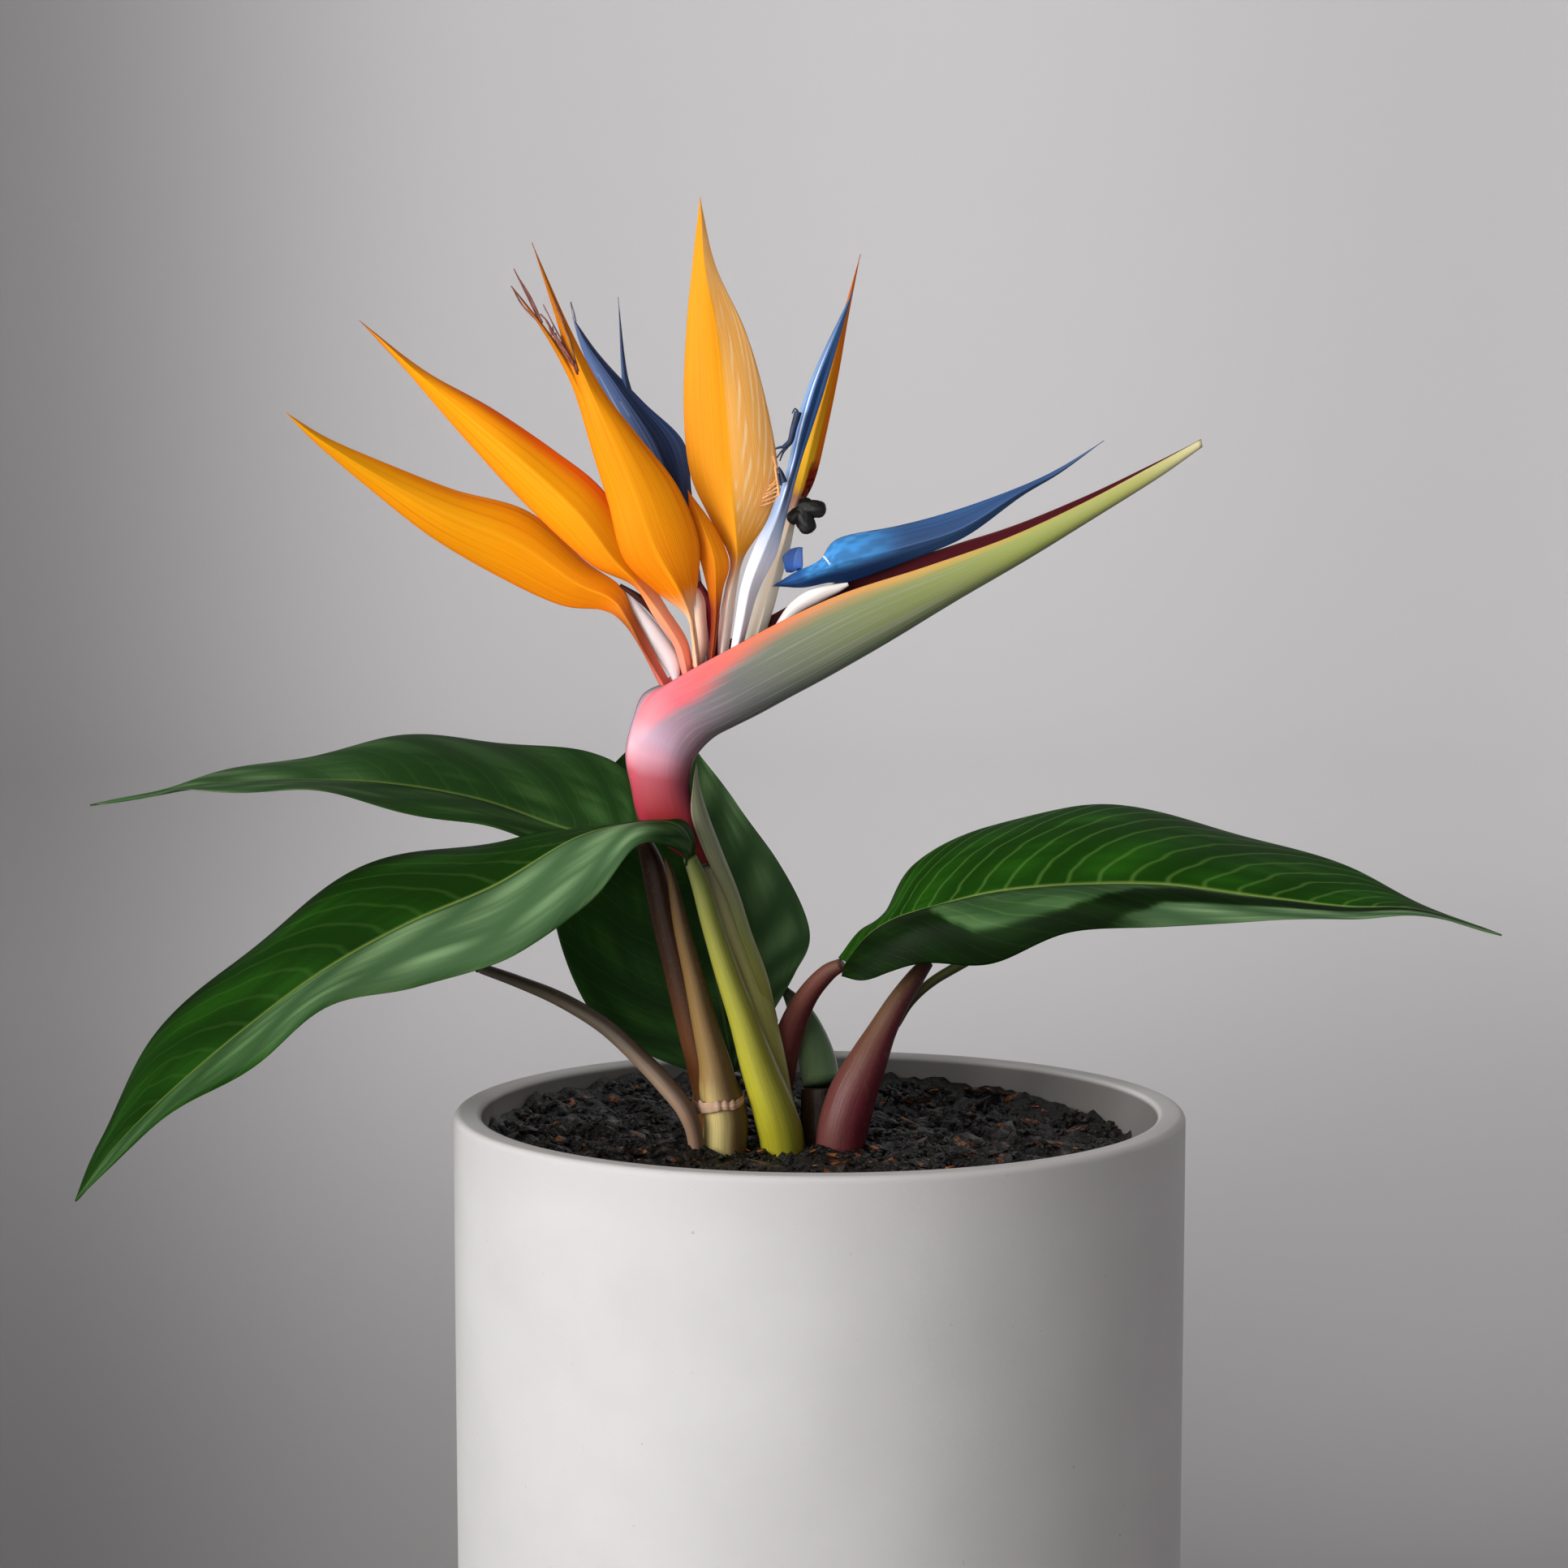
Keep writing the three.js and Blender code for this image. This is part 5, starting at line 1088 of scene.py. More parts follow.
def pot_material():
    """Matt off-white with a faint mottle, a few dark specks and a slight smudge under the rim, with painted
    shade on the inner wall and a painted highlight on the rim's top.
    """

    def paint(t):
        spots = t.use("Speckle", Scale=420.0, Amount=1.4)
        pits = t.use("Speckle", Scale=1500.0, Amount=1.6)
        base = t.blend(spots["Cloud"], (72.5, 71.5, 71.5), (79.5, 78.5, 78.5))
        base = t.blend(t.times(t.fade(spots["Spots"], 0.80, 0.90), 0.35), base, (45, 40, 36))
        x, y, z = t.parts(t.where())
        # painted shade: inside the mouth's radius the wall is darker
        base = t.blend(t.fade(t.length(t.vector(x, y)), 0.1135, 0.1105), base, (43, 42, 41))
        # painted highlight: the rim's top is lighter
        painted_rim_highlight = t.fade(z, (POT_HEIGHT - 2) * MM, (POT_HEIGHT - 0.3) * MM)
        base = t.blend(painted_rim_highlight, base, (83, 82, 81.5))
        smudge = t.times(t.fade(z, 0.205, 0.232), spots["Cloud"], 0.18)
        return t.blend(smudge, base, (52, 47, 42)), t.line(pits["Spots"], 0.5, spots["Spots"])

    return surface("pot", paint, 0.62, 0.12, 0.25)


def soil_material():
    """Near-black compost with brown and reddish bark and a few pale bits."""

    def paint(t):
        kind = t.read("tone")[0]
        spots = t.use("Speckle", Scale=900.0, Amount=1.6)["Spots"]
        big = t.use("Speckle", Scale=260.0, Amount=1.5)["Spots"]
        # the lighter grains among the near-black are partly painted glints
        base = t.blend(t.fade(spots, 0.35, 0.8), (1.2, 1, 0.8), (15.5, 13, 11.5))
        bark = t.ramp(big, [(0.35, 3, 2.6, 2.2), (0.58, 15, 11, 8.5), (0.61, 74, 42, 17)])
        base = t.blend(t.fade(kind, 0.55, 0.9), base, bark)
        return t.blend(t.times(t.fade(spots, 0.85, 0.95), 0.6), base, (50, 42, 33)), spots

    return surface("soil", paint, 0.4, 0.8, 1.0, Specular_IOR_Level=0.4)


# Settings in the sidebar


class PotSettings(bpy.types.PropertyGroup):
    """Sizes of the pot's and soil's finish."""

    rim_round: FloatProperty(name="Rim round", description="Outer rounding in mm", default=2.5, min=1.0)
    base_round: FloatProperty(name="Base round", description="Outer rounding in mm", default=3.0, min=1.0)
    sides: IntProperty(name="Sides", description="Facets round the pot", default=224, min=48)
    drain_radius: FloatProperty(name="Drain radius", description="Radius of a drain hole in mm", default=6.0)
    drain_circle: FloatProperty(name="Drain circle", description="Axis to a hole in mm", default=52.0)
    soil_lumps: FloatProperty(name="Soil lumps", description="Height of the lumps", default=1.0, min=0.0)
    crumbs: IntProperty(name="Crumbs", description="Loose crumbs on the soil", default=5000, min=0)
    chips: IntProperty(name="Bark chips", description="Bark chips on the soil", default=420, min=0)


class LeafSettings(bpy.types.PropertyGroup):
    """Fineness of the leaves and their relief."""

    steps: IntProperty(name="Steps", description="Rings along a leaf", default=150, min=20)
    lanes: IntProperty(name="Lanes", description="Rows of faces across half a leaf", default=44, min=8)
    rib: FloatProperty(name="Rib", description="Height of the midrib below in mm", default=2.0, min=0.0)
    ripple: FloatProperty(name="Vein ripple", description="Height of the ripple in mm", default=0.05, min=0.0)


class FlowerSettings(bpy.types.PropertyGroup):
    """Fineness and colours of the flower."""

    steps: IntProperty(name="Steps", description="Rings along a petal", default=120, min=20)
    lanes: IntProperty(name="Lanes", description="Rows of faces across half a petal", default=18, min=6)
    pleat: FloatProperty(name="Pleats", description="Height of the pleats in mm", default=0.03, min=0.0)
    orange: FloatVectorProperty(
        name="Orange",
        description="Main colour of the sepals, as a screen colour",
        subtype="COLOR_GAMMA",
        default=(1.0, 0.62, 0.03),
        min=0.0,
        max=1.0,
    )
    blue: FloatVectorProperty(
        name="Blue",
        description="Colour of the arrow petal's lower part, as a screen colour",
        subtype="COLOR_GAMMA",
        default=(0.12, 0.36, 0.60),
        min=0.0,
        max=1.0,
    )


class StudioSettings(bpy.types.PropertyGroup):
    """Light and camera."""

    key: FloatProperty(name="Key light", description="Power of the key light in W", default=95.0, min=0.0)
    fill: FloatProperty(name="Fill light", description="Power of the fill light in W", default=19.0, min=0.0)
    back: FloatProperty(name="Top light", description="Power of the top light in W", default=6.0, min=0.0)
    wash: FloatProperty(name="Wall light", description="Power of the wall light in W", default=79.0, min=0.0)
    lens: FloatProperty(name="Lens", description="Focal length of the camera in mm", default=118.63, min=10.0)


# Pieces


def drilled(thing, radius, circle):
    """Cuts the round upright drain holes, evenly placed on a circle, through the pot's floor."""
    ends = (-DRILL_PAST, POT_FLOOR + DRILL_PAST)
    holes = []
    for i in range(DRAIN_COUNT):
        a = math.radians(90 + 360 * i / DRAIN_COUNT)
        rows = [[circle * math.cos(a), circle * math.sin(a), z, radius] for z in ends]
        holes.append(stem(rows, 2, DRAIN_SIDES)[0])
    cutter = mesh_from("drain_cutter", *joined(holes))
    cut = thing.modifiers.new("Drain holes", "BOOLEAN")
    cut.operation = "DIFFERENCE"
    cut.solver = "EXACT"
    cut.object = cutter
    bpy.context.view_layer.update()
    done = thing.evaluated_get(bpy.context.evaluated_depsgraph_get())
    whole = thing.data
    thing.data = bpy.data.meshes.new_from_object(done)
    thing.modifiers.clear()
    bpy.data.meshes.remove(whole)
    bpy.data.objects.remove(cutter)


class PLANT_OT_pot(bpy.types.Operator):
    """Turns the pot with its rim, foot and drain holes"""

    bl_idname = "plant.pot"
    bl_label = "Pot"

    def execute(self, context):
        p = context.scene.plant_pot
        points, faces = shell(turned(pot_profile(p), p.sides, POT_WOBBLE))
        pot = mesh_from("pot_fine", points, [faces])
        drilled(pot, p.drain_radius, p.drain_circle)
        settle(pot, pot_material(), ["pot"])
        return {"FINISHED"}


class PLANT_OT_soil(bpy.types.Operator):
    """Lays the soil with its crumbs and bark"""

    bl_idname = "plant.soil"
    bl_label = "Soil"

    def execute(self, context):
        soil = mesh_from("soil_surface", *soil_parts(context.scene.plant_pot))
        settle(soil, soil_material(), ["soil"])
        roots = frame["nodes"]["rhizome_roots"]
        roots.data.materials.clear()
        roots.data.materials.append(plain_material("root", (45, 34, 22), (74, 60, 42)))
        return {"FINISHED"}


# Tones are up to three shares from 0 to 1 at places u along a piece and v across it. A leaf's are its painted
# sheen, its darkness, partly deep colour and partly painted shade, and how pale its rib is, and a petal's are
# its patches.
def even_tones(u, v):
    """Shaded leaf: deep green all over."""
    return 0.1, 0.4, 0.6


def leaf_a_tones(u, v):
    """Upper left leaf: deep green, greyer and lighter towards its tip, where a painted sheen grows and the
    darkening eases.
    """
    far = step(0.4, 0.75, u)
    return 0.18 + 0.32 * far, 0.38 - 0.3 * far, 0.5


def leaf_c_tones(u, v):
    """Upright leaf at the back: its right half catches more light."""
    right = step(-0.1, 0.25, v)
    return 0.05 + 0.45 * right, 0.45 - 0.4 * right, 0.3


def leaf_b_tones(u, v):
    """Lower left leaf: the near half has a painted grey-green sheen and, by the stalk, painted shade where it
    folds; the far half is deep green.
    """
    near = step(0.02, -0.10, v)
    edge = step(0.86, 1.0, -v) * 0.5
    # fold: painted shade where the near half folds down by the stalk
    fold = step(0.27, 0.20, u) * near
    sheen = near * (0.95 - 0.65 * step(0.5, 0.85, u) - edge)
    dark = (1 - near) * (0.35 + 0.5 * step(0.75, 1.0, v)) + fold * 0.5
    return np.clip(sheen - fold * 0.6, 0, 1), np.clip(dark, 0, 1), 1 - 0.5 * u


# Where the painted lit zone and the grey tail of painted sheen on leaf_d's near half begin, as (u, v) places
LEAF_D_LIGHT = [(0.295, 0.12), (0.315, 0.38), (0.35, 0.58), (0.38, 0.68), (0.49, 0.72), (0.52, 0.6)]
LEAF_D_LIGHT += [(0.55, 0.40), (0.575, 0.22), (0.635, 0.08)]
LEAF_D_TAIL = [(0.53, 1.0), (0.575, 0.73), (0.605, 0.54), (0.655, 0.48), (0.73, 0.45), (1.0, 0.4)]


def leaf_d_tones(u, v):
    """Right leaf: bright upper half, and on the near half a painted lit zone, an edge darkened by painted
    shade where it curls under, and a grey tail of painted sheen.
    """
    near = step(-0.02, 0.04, v)
    # light and tail carry painted sheen, and dark the painted shade of the near half where it curls under
    light = step(0.06, -0.06, v - curve(LEAF_D_LIGHT, u)) * step(0.27, 0.33, u)
    tail = step(-0.06, 0.06, v - curve(LEAF_D_TAIL, u)) * step(0.52, 0.6, u)
    sheen = near * np.clip(0.42 * light + 0.95 * tail, 0, 1)
    dark = near * np.clip(1 - light - 0.8 * tail, 0, 1) * 0.95
    return sheen, dark, 1


# Of each leaf its blade, how its edges wave, and its tones
LEAVES = {
    "leaf_a": (LEAF_A, {"wave": 1.5, "waves": 4}, leaf_a_tones),
    "leaf_b": (LEAF_B, {"wave": 2, "waves": 5}, leaf_b_tones),
    "leaf_c": (LEAF_C, {"wave": -1.5, "waves": 3, "folded": True}, leaf_c_tones),
    "leaf_d": (LEAF_D, {"wave": 1.5, "waves": 4}, leaf_d_tones),
    "leaf_f": (LEAF_F, {}, even_tones),
    "leaf_g": (LEAF_G, {}, even_tones),
}


class PLANT_OT_leaves(bpy.types.Operator):
    """Grows the leaf blades"""

    bl_idname = "plant.leaves"
    bl_label = "Leaves"

    def execute(self, context):
        p = context.scene.plant_leaf

        def ripple(u, v):
            line = VEIN_COUNT * u - VEIN_SWEEP * np.abs(v) ** VEIN_BEND
            return p.ripple * np.sin(2 * np.pi * line) * np.sin(np.pi * np.abs(v)) * np.sin(np.pi * u) ** 0.5

        for name, (rows, look, tones) in LEAVES.items():
            coarse = 2 if tones is even_tones else 1
            part = blade(rows, p.steps // coarse, p.lanes // coarse, rib=p.rib, ripple=ripple, **look)
            solid(f"{name}_blade", [part], leaf_material(), [name], tones)
        return {"FINISHED"}


def shaded_tones(u, v):
    """First blue petal: a paler, finely streaked left half and a dark band beside the keel."""
    left = step(0.0, -0.5, v) * step(0.3, 0.5, u)
    dark = step(-0.05, 0.1, v) * step(0.6, 0.3, v) * step(0.85, 0.6, u)
    fine = left * (lattice(3 * u, 30 * v, 41) > 0.72) * step(0.9, 0.7, u)
    return 0.55 * left, 0.6 * dark, 0.4 * fine


def striped_tones(u, v):
    """Tall blue petal: a white line left of its keel, a dark band right of it and a pale left edge."""
    body = step(0.46, 0.56, u) * step(0.98, 0.85, u)
    line = step(0.13, 0.04, np.abs(v + 0.26 - 0.1 * np.sin(5 * u)))
    dark = step(-0.12, 0.0, v) * step(0.62, 0.5, v)
    pale = step(-0.45, -0.7, v)
    return 0.85 * line * body, 0.75 * dark * body, 0.6 * pale * body


def upper_edge_tones(u, v):
    """Second sepal: its upper edge is red along the middle."""
    return 0.8 * step(0.35, 1.0, v) * step(0.42, 0.55, u) * step(0.95, 0.7, u), 0, 0


def foot_tones(u, v):
    """Last sepal: a yellow band, and at the blade's foot a red blot with dark cracks."""
    band = step(0.5, 0.54, u) * step(0.86, 0.6, u) * step(0.62, 0.38, v)
    blot = step(0.495, 0.515, u) * step(0.61, 0.575, u) * step(0.2, 0.4, v)
    crack = blot * (lattice(160 * u, 7 * v, 31) > 0.66)
    return 0.8 * band * (1 - blot), 0.9 * blot, 0.9 * crack


def arrow_tones(u, v):
    """Arrow petal: a bright lobe at its upper left, partly its own brighter blue and partly a painted
    highlight where it rounds, a dark lower flank of painted shade and a pale crack across the lobe.
    """
    # lobe: partly painted highlight; dark: painted shade on the lower flank
    lobe = step(0.4, 0.1, v) * step(0.14, 0.2, u) * step(0.52, 0.4, u)
    dark = step(0.3, 0.55, v) * step(0.62, 0.4, u)
    crack = (np.abs(u - 0.30 - 0.025 * v) < 0.004) * (v < -0.15)
    cloud = 0.55 + 0.45 * step(0.3, 0.7, lattice(40 * u, 6 * v, 51))
    return cloud * lobe, 0.75 * dark, 0.9 * crack * lobe


# Edge and vein colours that the sepals share
SEPAL_EDGE = (88, 36, 3)
SEPAL_VEIN = (100, 70, 10)

# Of each sepal and petal the blade, a second prong or None, the claw's thickness in millimetres, the seven
# colours that petal_material takes, with None for the sidebar's, how they run, and the tones or None
SEPALS = {
    "sepal_1": (
        SEPAL_1, None, 2.6,
        ((96, 44, 48), (60, 28, 18), (90, 46, 3), None, (96, 66, 6), SEPAL_EDGE, SEPAL_VEIN),
        {"tip_from": 0.5}, None,
    ),
    "sepal_2": (
        SEPAL_2, None, 2.6,
        ((98, 54, 52), (98, 62, 50), (92, 46, 3), None, (62, 34, 16), (90, 34, 6), SEPAL_VEIN),
        {"claw_end": 0.32, "tip_from": 0.93, "patches": [(93, 27, 5)]}, upper_edge_tones,
    ),
    "sepal_3": (
        SEPAL_3, SEPAL_3_PRONG, 2.6,
        ((100, 80, 70), (100, 82, 66), (92, 46, 2), (96, 58, 3), (40, 16, 12), SEPAL_EDGE, SEPAL_VEIN),
        {"claw_end": 0.27, "tip_from": 0.74}, None,
    ),
    "sepal_4": (
        SEPAL_4, None, 2.6,
        ((100, 94, 95), (100, 92, 87), (95, 60, 14), (97, 62, 9), (95, 56, 6), (95, 56, 14), SEPAL_VEIN),
        {"claw_end": 0.30, "tip_from": 0.9, "feather": 0.6}, None,
    ),
    "sepal_5": (
        SEPAL_5, None, 4,
        ((100, 100, 95), (100, 97, 90), (58, 9, 3), (97, 52, 6), (70, 30, 20), SEPAL_EDGE, SEPAL_VEIN),
        {"claw_end": 0.50, "patches": [(100, 78, 16), (50, 5, 3), (12, 3, 2)]}, foot_tones,
    ),
    "sepal_6": (
        SEPAL_6, None, 2,
        ((70, 16, 22), (62, 14, 14), (84, 40, 5), (92, 50, 4), (90, 44, 4), SEPAL_EDGE, SEPAL_VEIN),
        {}, None,
    ),
}
PETALS = {
    "petal_blue_1": (
        PETAL_1, PETAL_1_PRONG, 2.2,
        ((86, 80, 82), (62, 62, 72), (13, 20, 34), (10, 18, 34), (34, 22, 17), (24, 34, 56), (42, 50, 66)),
        {"streak": 0.5, "tip_from": 0.88, "patches": [(40, 50, 68), (5, 9, 18), (72, 78, 86)]}, shaded_tones,
    ),
    "petal_blue_2": (
        PETAL_2, None, 2.6,
        ((100, 94, 95), (95, 93, 97), (70, 76, 87), (22, 46, 76), (20, 34, 52), (6, 20, 42), (66, 76, 86)),
        {"claw_end": 0.42, "patches": [(93, 95, 98), (5, 13, 30), (62, 72, 84)]}, striped_tones,
    ),
    # the arrow petal's patches: the bright lobe, partly painted highlight, painted shade on the lower flank,
    # and the pale crack
    "petal_blue_3": (
        PETAL_3, None, 1.4,
        ((12, 28, 50), (11, 32, 56), None, (20, 30, 46), (36, 44, 58), (16, 34, 56), (40, 52, 70)),
        {"claw_end": 0.18, "streak": 0.3, "patches": [(30, 61, 88), (6, 13, 28), (92, 95, 98)]}, arrow_tones,
    ),
    "petal_scrap": (
        PETAL_SCRAP, None, 0.9,
        ((8, 24, 50), (10, 34, 66), (22, 42, 74), (26, 40, 66), (16, 34, 58), (10, 26, 48), (50, 54, 72)),
        {}, None,
    ),
}


def petals(table, p, colour):
    """Builds a table of petals; a colour left open takes the one of the sidebar."""
    colour = tuple(100 * part for part in colour)

    def pleats(u, v):
        return p.pleat * np.sin(40 * np.abs(v) + 3 * u) * (1 - v * v) * np.sin(np.pi * u)

    for name, (rows, prong, claw, palette, run, tones) in table.items():
        fine = 2 if tones else 1
        shells = [blade(rows, p.steps * fine, p.lanes, 1.0, claw, CLAW_END, ripple=pleats, folded=True)]
        if prong:
            rings, place = blade(prong, p.steps // 3, p.lanes // 3, 0.8, 0.8, ripple=pleats, folded=True)
            place[..., 0] = 0.7 + 0.3 * place[..., 0]
            shells.append((rings, place))
        skin = petal_material(f"{name}_skin", [colour if part is None else part for part in palette], **run)
        solid(f"{name}_blade", shells, skin, [name], tones)


def strand(y, root, tip, *points):
    """Stem rows of a hair that thins evenly from its root to its tip."""
    radii = np.linspace(root, tip, len(points))
    return [[x, y, z, r] for (x, z), r in zip(points, radii)]


# Of each set of hairs its strands, its two colours, and the node and the slot that it belongs to
HAIRS = {
    "sepal_3_hairs": (SEPAL_3_HAIRS, (42, 17, 15), (62, 40, 36), "sepal_3", "sepal_orange"),
    "sepal_4_barbs": (SEPAL_4_HAIRS, (80, 42, 14), (94, 72, 48), "sepal_4", "sepal_orange"),
    "petal_1_hairs": (PETAL_1_HAIRS, (30, 22, 20), (70, 72, 80), "petal_blue_1", "petal_blue"),
    "petal_2_scraps": (PETAL_2_SCRAPS, (3, 7, 15), (10, 20, 36), "petal_blue_2", "petal_blue"),
}


class PLANT_OT_petals(bpy.types.Operator):
    """Opens the orange sepals and the blue petals"""

    bl_idname = "plant.petals"
    bl_label = "Sepals and petals"

    def execute(self, context):
        p = context.scene.plant_flower
        petals(SEPALS, p, p.orange)
        petals(PETALS, p, p.blue)
        for name, (strands, dark, light, node, slot) in HAIRS.items():
            shells = [stem(strand(*row), *HAIR_GRID) for row in strands]
            solid(name, shells, plain_material(f"{name}_skin", dark, light), [node])
        return {"FINISHED"}


def spathe_rings(nu, nq):
    """Rings of the neck and boat with their (u, q, side) places.

    The outer wall is an arc round the keel, h = H(1-cos a)/(1-cos wrap) high and w sin(a) wide. The inner
    wall runs from closed over, in the neck, to a groove as deep as the wall allows, in the boat.
    """
    u = np.linspace(0, 1, nu)
    tx, tz, kx, kz, y, w, wrap, groove, wall = spline(SPATHE, u).T[:, :, None]
    keel = np.stack([kx, y, kz], -1)
    up = np.stack([tx, y, tz], -1) - keel
    height = np.linalg.norm(up, axis=-1)
    up = unit(up)
    lift = FAR_EDGE_RISE * groove * np.minimum(height / 12, 1)
    q = np.linspace(-1, 1, nq)[None]

    def arc(q, shrink):
        angle = q * wrap
        h = height * (1 - np.cos(angle)) / (1 - np.cos(wrap))
        h = h + shrink * (height - h) * wall / height + np.where(q > 0, lift * q**4, 0)
        return h, w * np.sin(angle) * (1 - shrink * wall / w)

    outer = arc(q, 0)
    deep = arc(q, 1)
    sign = np.where(q < 0, -1.0, 1.0)
    edge = arc(sign, 1)
    cap = np.pi - (np.pi - wrap) * np.abs(q)
    closed = (height * (1 - np.cos(cap)) / (1 - np.cos(wrap)), (w - wall) * np.sin(cap) * sign)
    inner = []
    for e, c, d in zip(edge, closed, deep):
        shut = e + (c - e) * (1 - q * q)
        inner.append(shut + (d - shut) * groove)
    h = np.concatenate([outer[0], inner[0][:, ::-1]], 1)
    s = np.concatenate([outer[1], inner[1][:, ::-1]], 1)
    rings = keel + up * h[..., None]
    rings[..., 1] += s
    side = np.concatenate([np.ones(nq), -np.ones(nq)])
    return rings, places(rings, u[:, None], np.concatenate([q[0], q[0][::-1]]), side)


# Of each small bract its stem rows, its colours on the left and on the right, and its slot; the lighter left
# colour is painted light and the darker right one painted shade, besides the bract's own colour
BRACTS = {
    "bract_white": (BRACT_WHITE, (100, 97, 97), (95, 90, 90), "bract_pale"),
    "bract_brown": (BRACT_BROWN, (26, 10, 7), (16, 6, 5), "bract_dark"),
    "bract_cream": (BRACT_CREAM, (100, 88, 78), (95, 72, 64), "bract_pale"),
    "bract_maroon": (BRACT_MAROON, (60, 10, 18), (36, 5, 10), "bract_dark"),
    "claw_white": (CLAW_WHITE, (100, 98, 95), (92, 86, 84), "bract_pale"),
}


def lobe_shells():
    """The shrivelled scrap: four short tapered lobes from one point."""
    t = np.array([0, 0.3, 0.65, 0.9, 1])[:, None]
    swell = np.array([0.9, 1.15, 1.25, 1.0, 0.3])[:, None]
    shells = []
    for start, end, r in LOBES:

        def rough(u, angle):
            return 1 + 0.05 * np.sin(5 * angle + 9 * u) + 0.04 * np.sin(11 * angle - 17 * u + r)

        axis = np.array(start) * (1 - 1.15 * t) + np.array(end) * 1.15 * t
        shells.append(stem(np.hstack([axis, r * swell]), *LOBE_GRID, flatten=0.75, shape=rough))
    return shells


class PLANT_OT_spathe(bpy.types.Operator):
    """Bends the neck and boat and sets the small bracts in it"""

    bl_idname = "plant.spathe"
    bl_label = "Spathe and bracts"

    def execute(self, context):
        solid("spathe_skin", [spathe_rings(*SPATHE_GRID)], spathe_material(), ["spathe"])
        for name, (rows, light, dark, slot) in BRACTS.items():
            stops = [[(place, *colour) for place in (0.0, 1.0)] for colour in (light, dark)]
            skin = stem_material(f"{name}_tissue", *stops, count=16.0, mottle=0.03)
            solid(f"{name}_fine", [stem(rows, *BRACT_GRID, flatten=0.8)], skin, [name])
        dark = plain_material("withered", (1.5, 1.4, 0.8), (5.5, 5, 3), 700.0, 0.5, 0.4)
        solid("withered_lobe_fine", lobe_shells(), dark, ["withered_lobe"])
        return {"FINISHED"}


# Of each stalk and sheath its stem rows, its left and right colours, foot to top, and its slot; the left
# colours are lighter by painted light and the right ones darker by painted shade, besides their own colours
STALKS = {
    # the flower stalk is painted lighter to make up for the shade that petiole_b casts on it
    "flower_stalk": (
        FLOWER_STALK,
        [(0.0, 72, 68, 22), (0.5, 78, 76, 40), (0.8, 76, 74, 54), (1.0, 66, 62, 54)],
        [(0.0, 58, 56, 18), (0.6, 64, 64, 36), (1.0, 58, 56, 44)],
        "stem_green",
    ),
    "petiole_a": (
        PETIOLE_A,
        [(0.0, 56, 36, 18), (0.35, 46, 27, 14), (0.6, 26, 16, 8), (1.0, 22, 13, 8)],
        [(0.0, 34, 18, 9), (1.0, 13, 7, 4)],
        "stem_brown",
    ),
    "petiole_b": (
        PETIOLE_B,
        [(0.0, 72, 68, 14), (0.3, 74, 71, 18), (0.6, 68, 67, 26), (1.0, 50, 53, 33)],
        [(0.0, 50, 48, 12), (0.5, 48, 48, 16), (1.0, 33, 38, 18)],
        "stem_green",
    ),
    "petiole_c": (
        PETIOLE_C,
        [(0.0, 34, 42, 22), (1.0, 30, 42, 22)],
        [(0.0, 20, 27, 14), (1.0, 18, 26, 14)],
        "stem_green",
    ),
    "petiole_d": (
        PETIOLE_D,
        [(0.0, 60, 38, 34), (0.5, 54, 30, 28), (1.0, 42, 28, 22)],
        [(0.0, 42, 20, 20), (1.0, 32, 16, 15)],
        "stem_maroon",
    ),
    "petiole_f": (
        PETIOLE_F,
        [(0.0, 46, 27, 24), (0.3, 42, 22, 21), (0.6, 40, 28, 20), (1.0, 24, 17, 11)],
        [(0.0, 38, 13, 17), (0.6, 34, 11, 15), (1.0, 14, 7, 6)],
        "stem_maroon",
    ),
    "petiole_g": (
        PETIOLE_G,
        [(0.0, 70, 56, 46), (0.3, 66, 54, 44), (0.6, 42, 37, 30), (1.0, 34, 31, 25)],
        [(0.0, 46, 34, 28), (0.5, 27, 22, 18), (1.0, 20, 18, 14)],
        "stem_brown",
    ),
    "sheath_tan": (
        SHEATH_TAN,
        [(0.0, 95, 88, 58), (0.25, 90, 81, 53), (0.4, 62, 49, 27), (0.7, 54, 41, 22), (1.0, 42, 31, 18)],
        [(0.0, 38, 29, 17), (1.0, 22, 16, 10)],
        "stem_brown",
    ),
    "old_leaf_base": (
        OLD_LEAF_BASE,
        [(0.0, 20, 14, 10), (1.0, 24, 17, 12)],
        [(0.0, 11, 8, 6), (1.0, 13, 9, 7)],
        "dry_tissue",
    ),
    "sheath_green": (
        SHEATH_GREEN,
        [(0.0, 50, 60, 42), (0.6, 44, 55, 38), (0.85, 30, 36, 24), (1.0, 16, 13, 9)],
        [(0.0, 38, 48, 34), (0.6, 34, 44, 31), (0.85, 22, 27, 18), (1.0, 10, 8, 5)],
        "stem_green",
    ),
    "young_leaf": (
        YOUNG_LEAF,
        [(0.0, 42, 34, 22), (0.5, 36, 44, 22), (1.0, 34, 46, 22)],
        [(0.0, 26, 20, 13), (0.5, 22, 28, 14), (1.0, 20, 28, 13)],
        "leaf_green",
    ),
}
# Pieces that don't reach into the soil
ABOVE_SOIL = ("sheath_green", "young_leaf")

# Colours of the stalk's bract and of the papery collar, as petal_material takes them; the collar's
# near-white vein colour is painted glints along its creases and fibres
CLASP = ((56, 56, 20), (52, 54, 28), (50, 53, 36), (48, 51, 40), (50, 50, 42), (42, 36, 28), (62, 64, 52))
DRY = ((72, 56, 44), (78, 62, 50), (80, 64, 52), (66, 46, 34), (72, 54, 42), (46, 28, 20), (96, 90, 84))


def planted(rows):
    """Stem rows carried straight down into the soil."""
    x, y, z, r = rows[0]
    return [[x, y, z - STEM_DEPTH, r * 0.8], *rows]


def fluted(u, angle):
    """Slight lengthwise ridges and a slow unevenness of a stalk."""
    return 1 + 0.006 * np.sin(9 * angle + 2 * u) + 0.004 * np.sin(17 * angle) + 0.012 * np.sin(13 * u + angle)


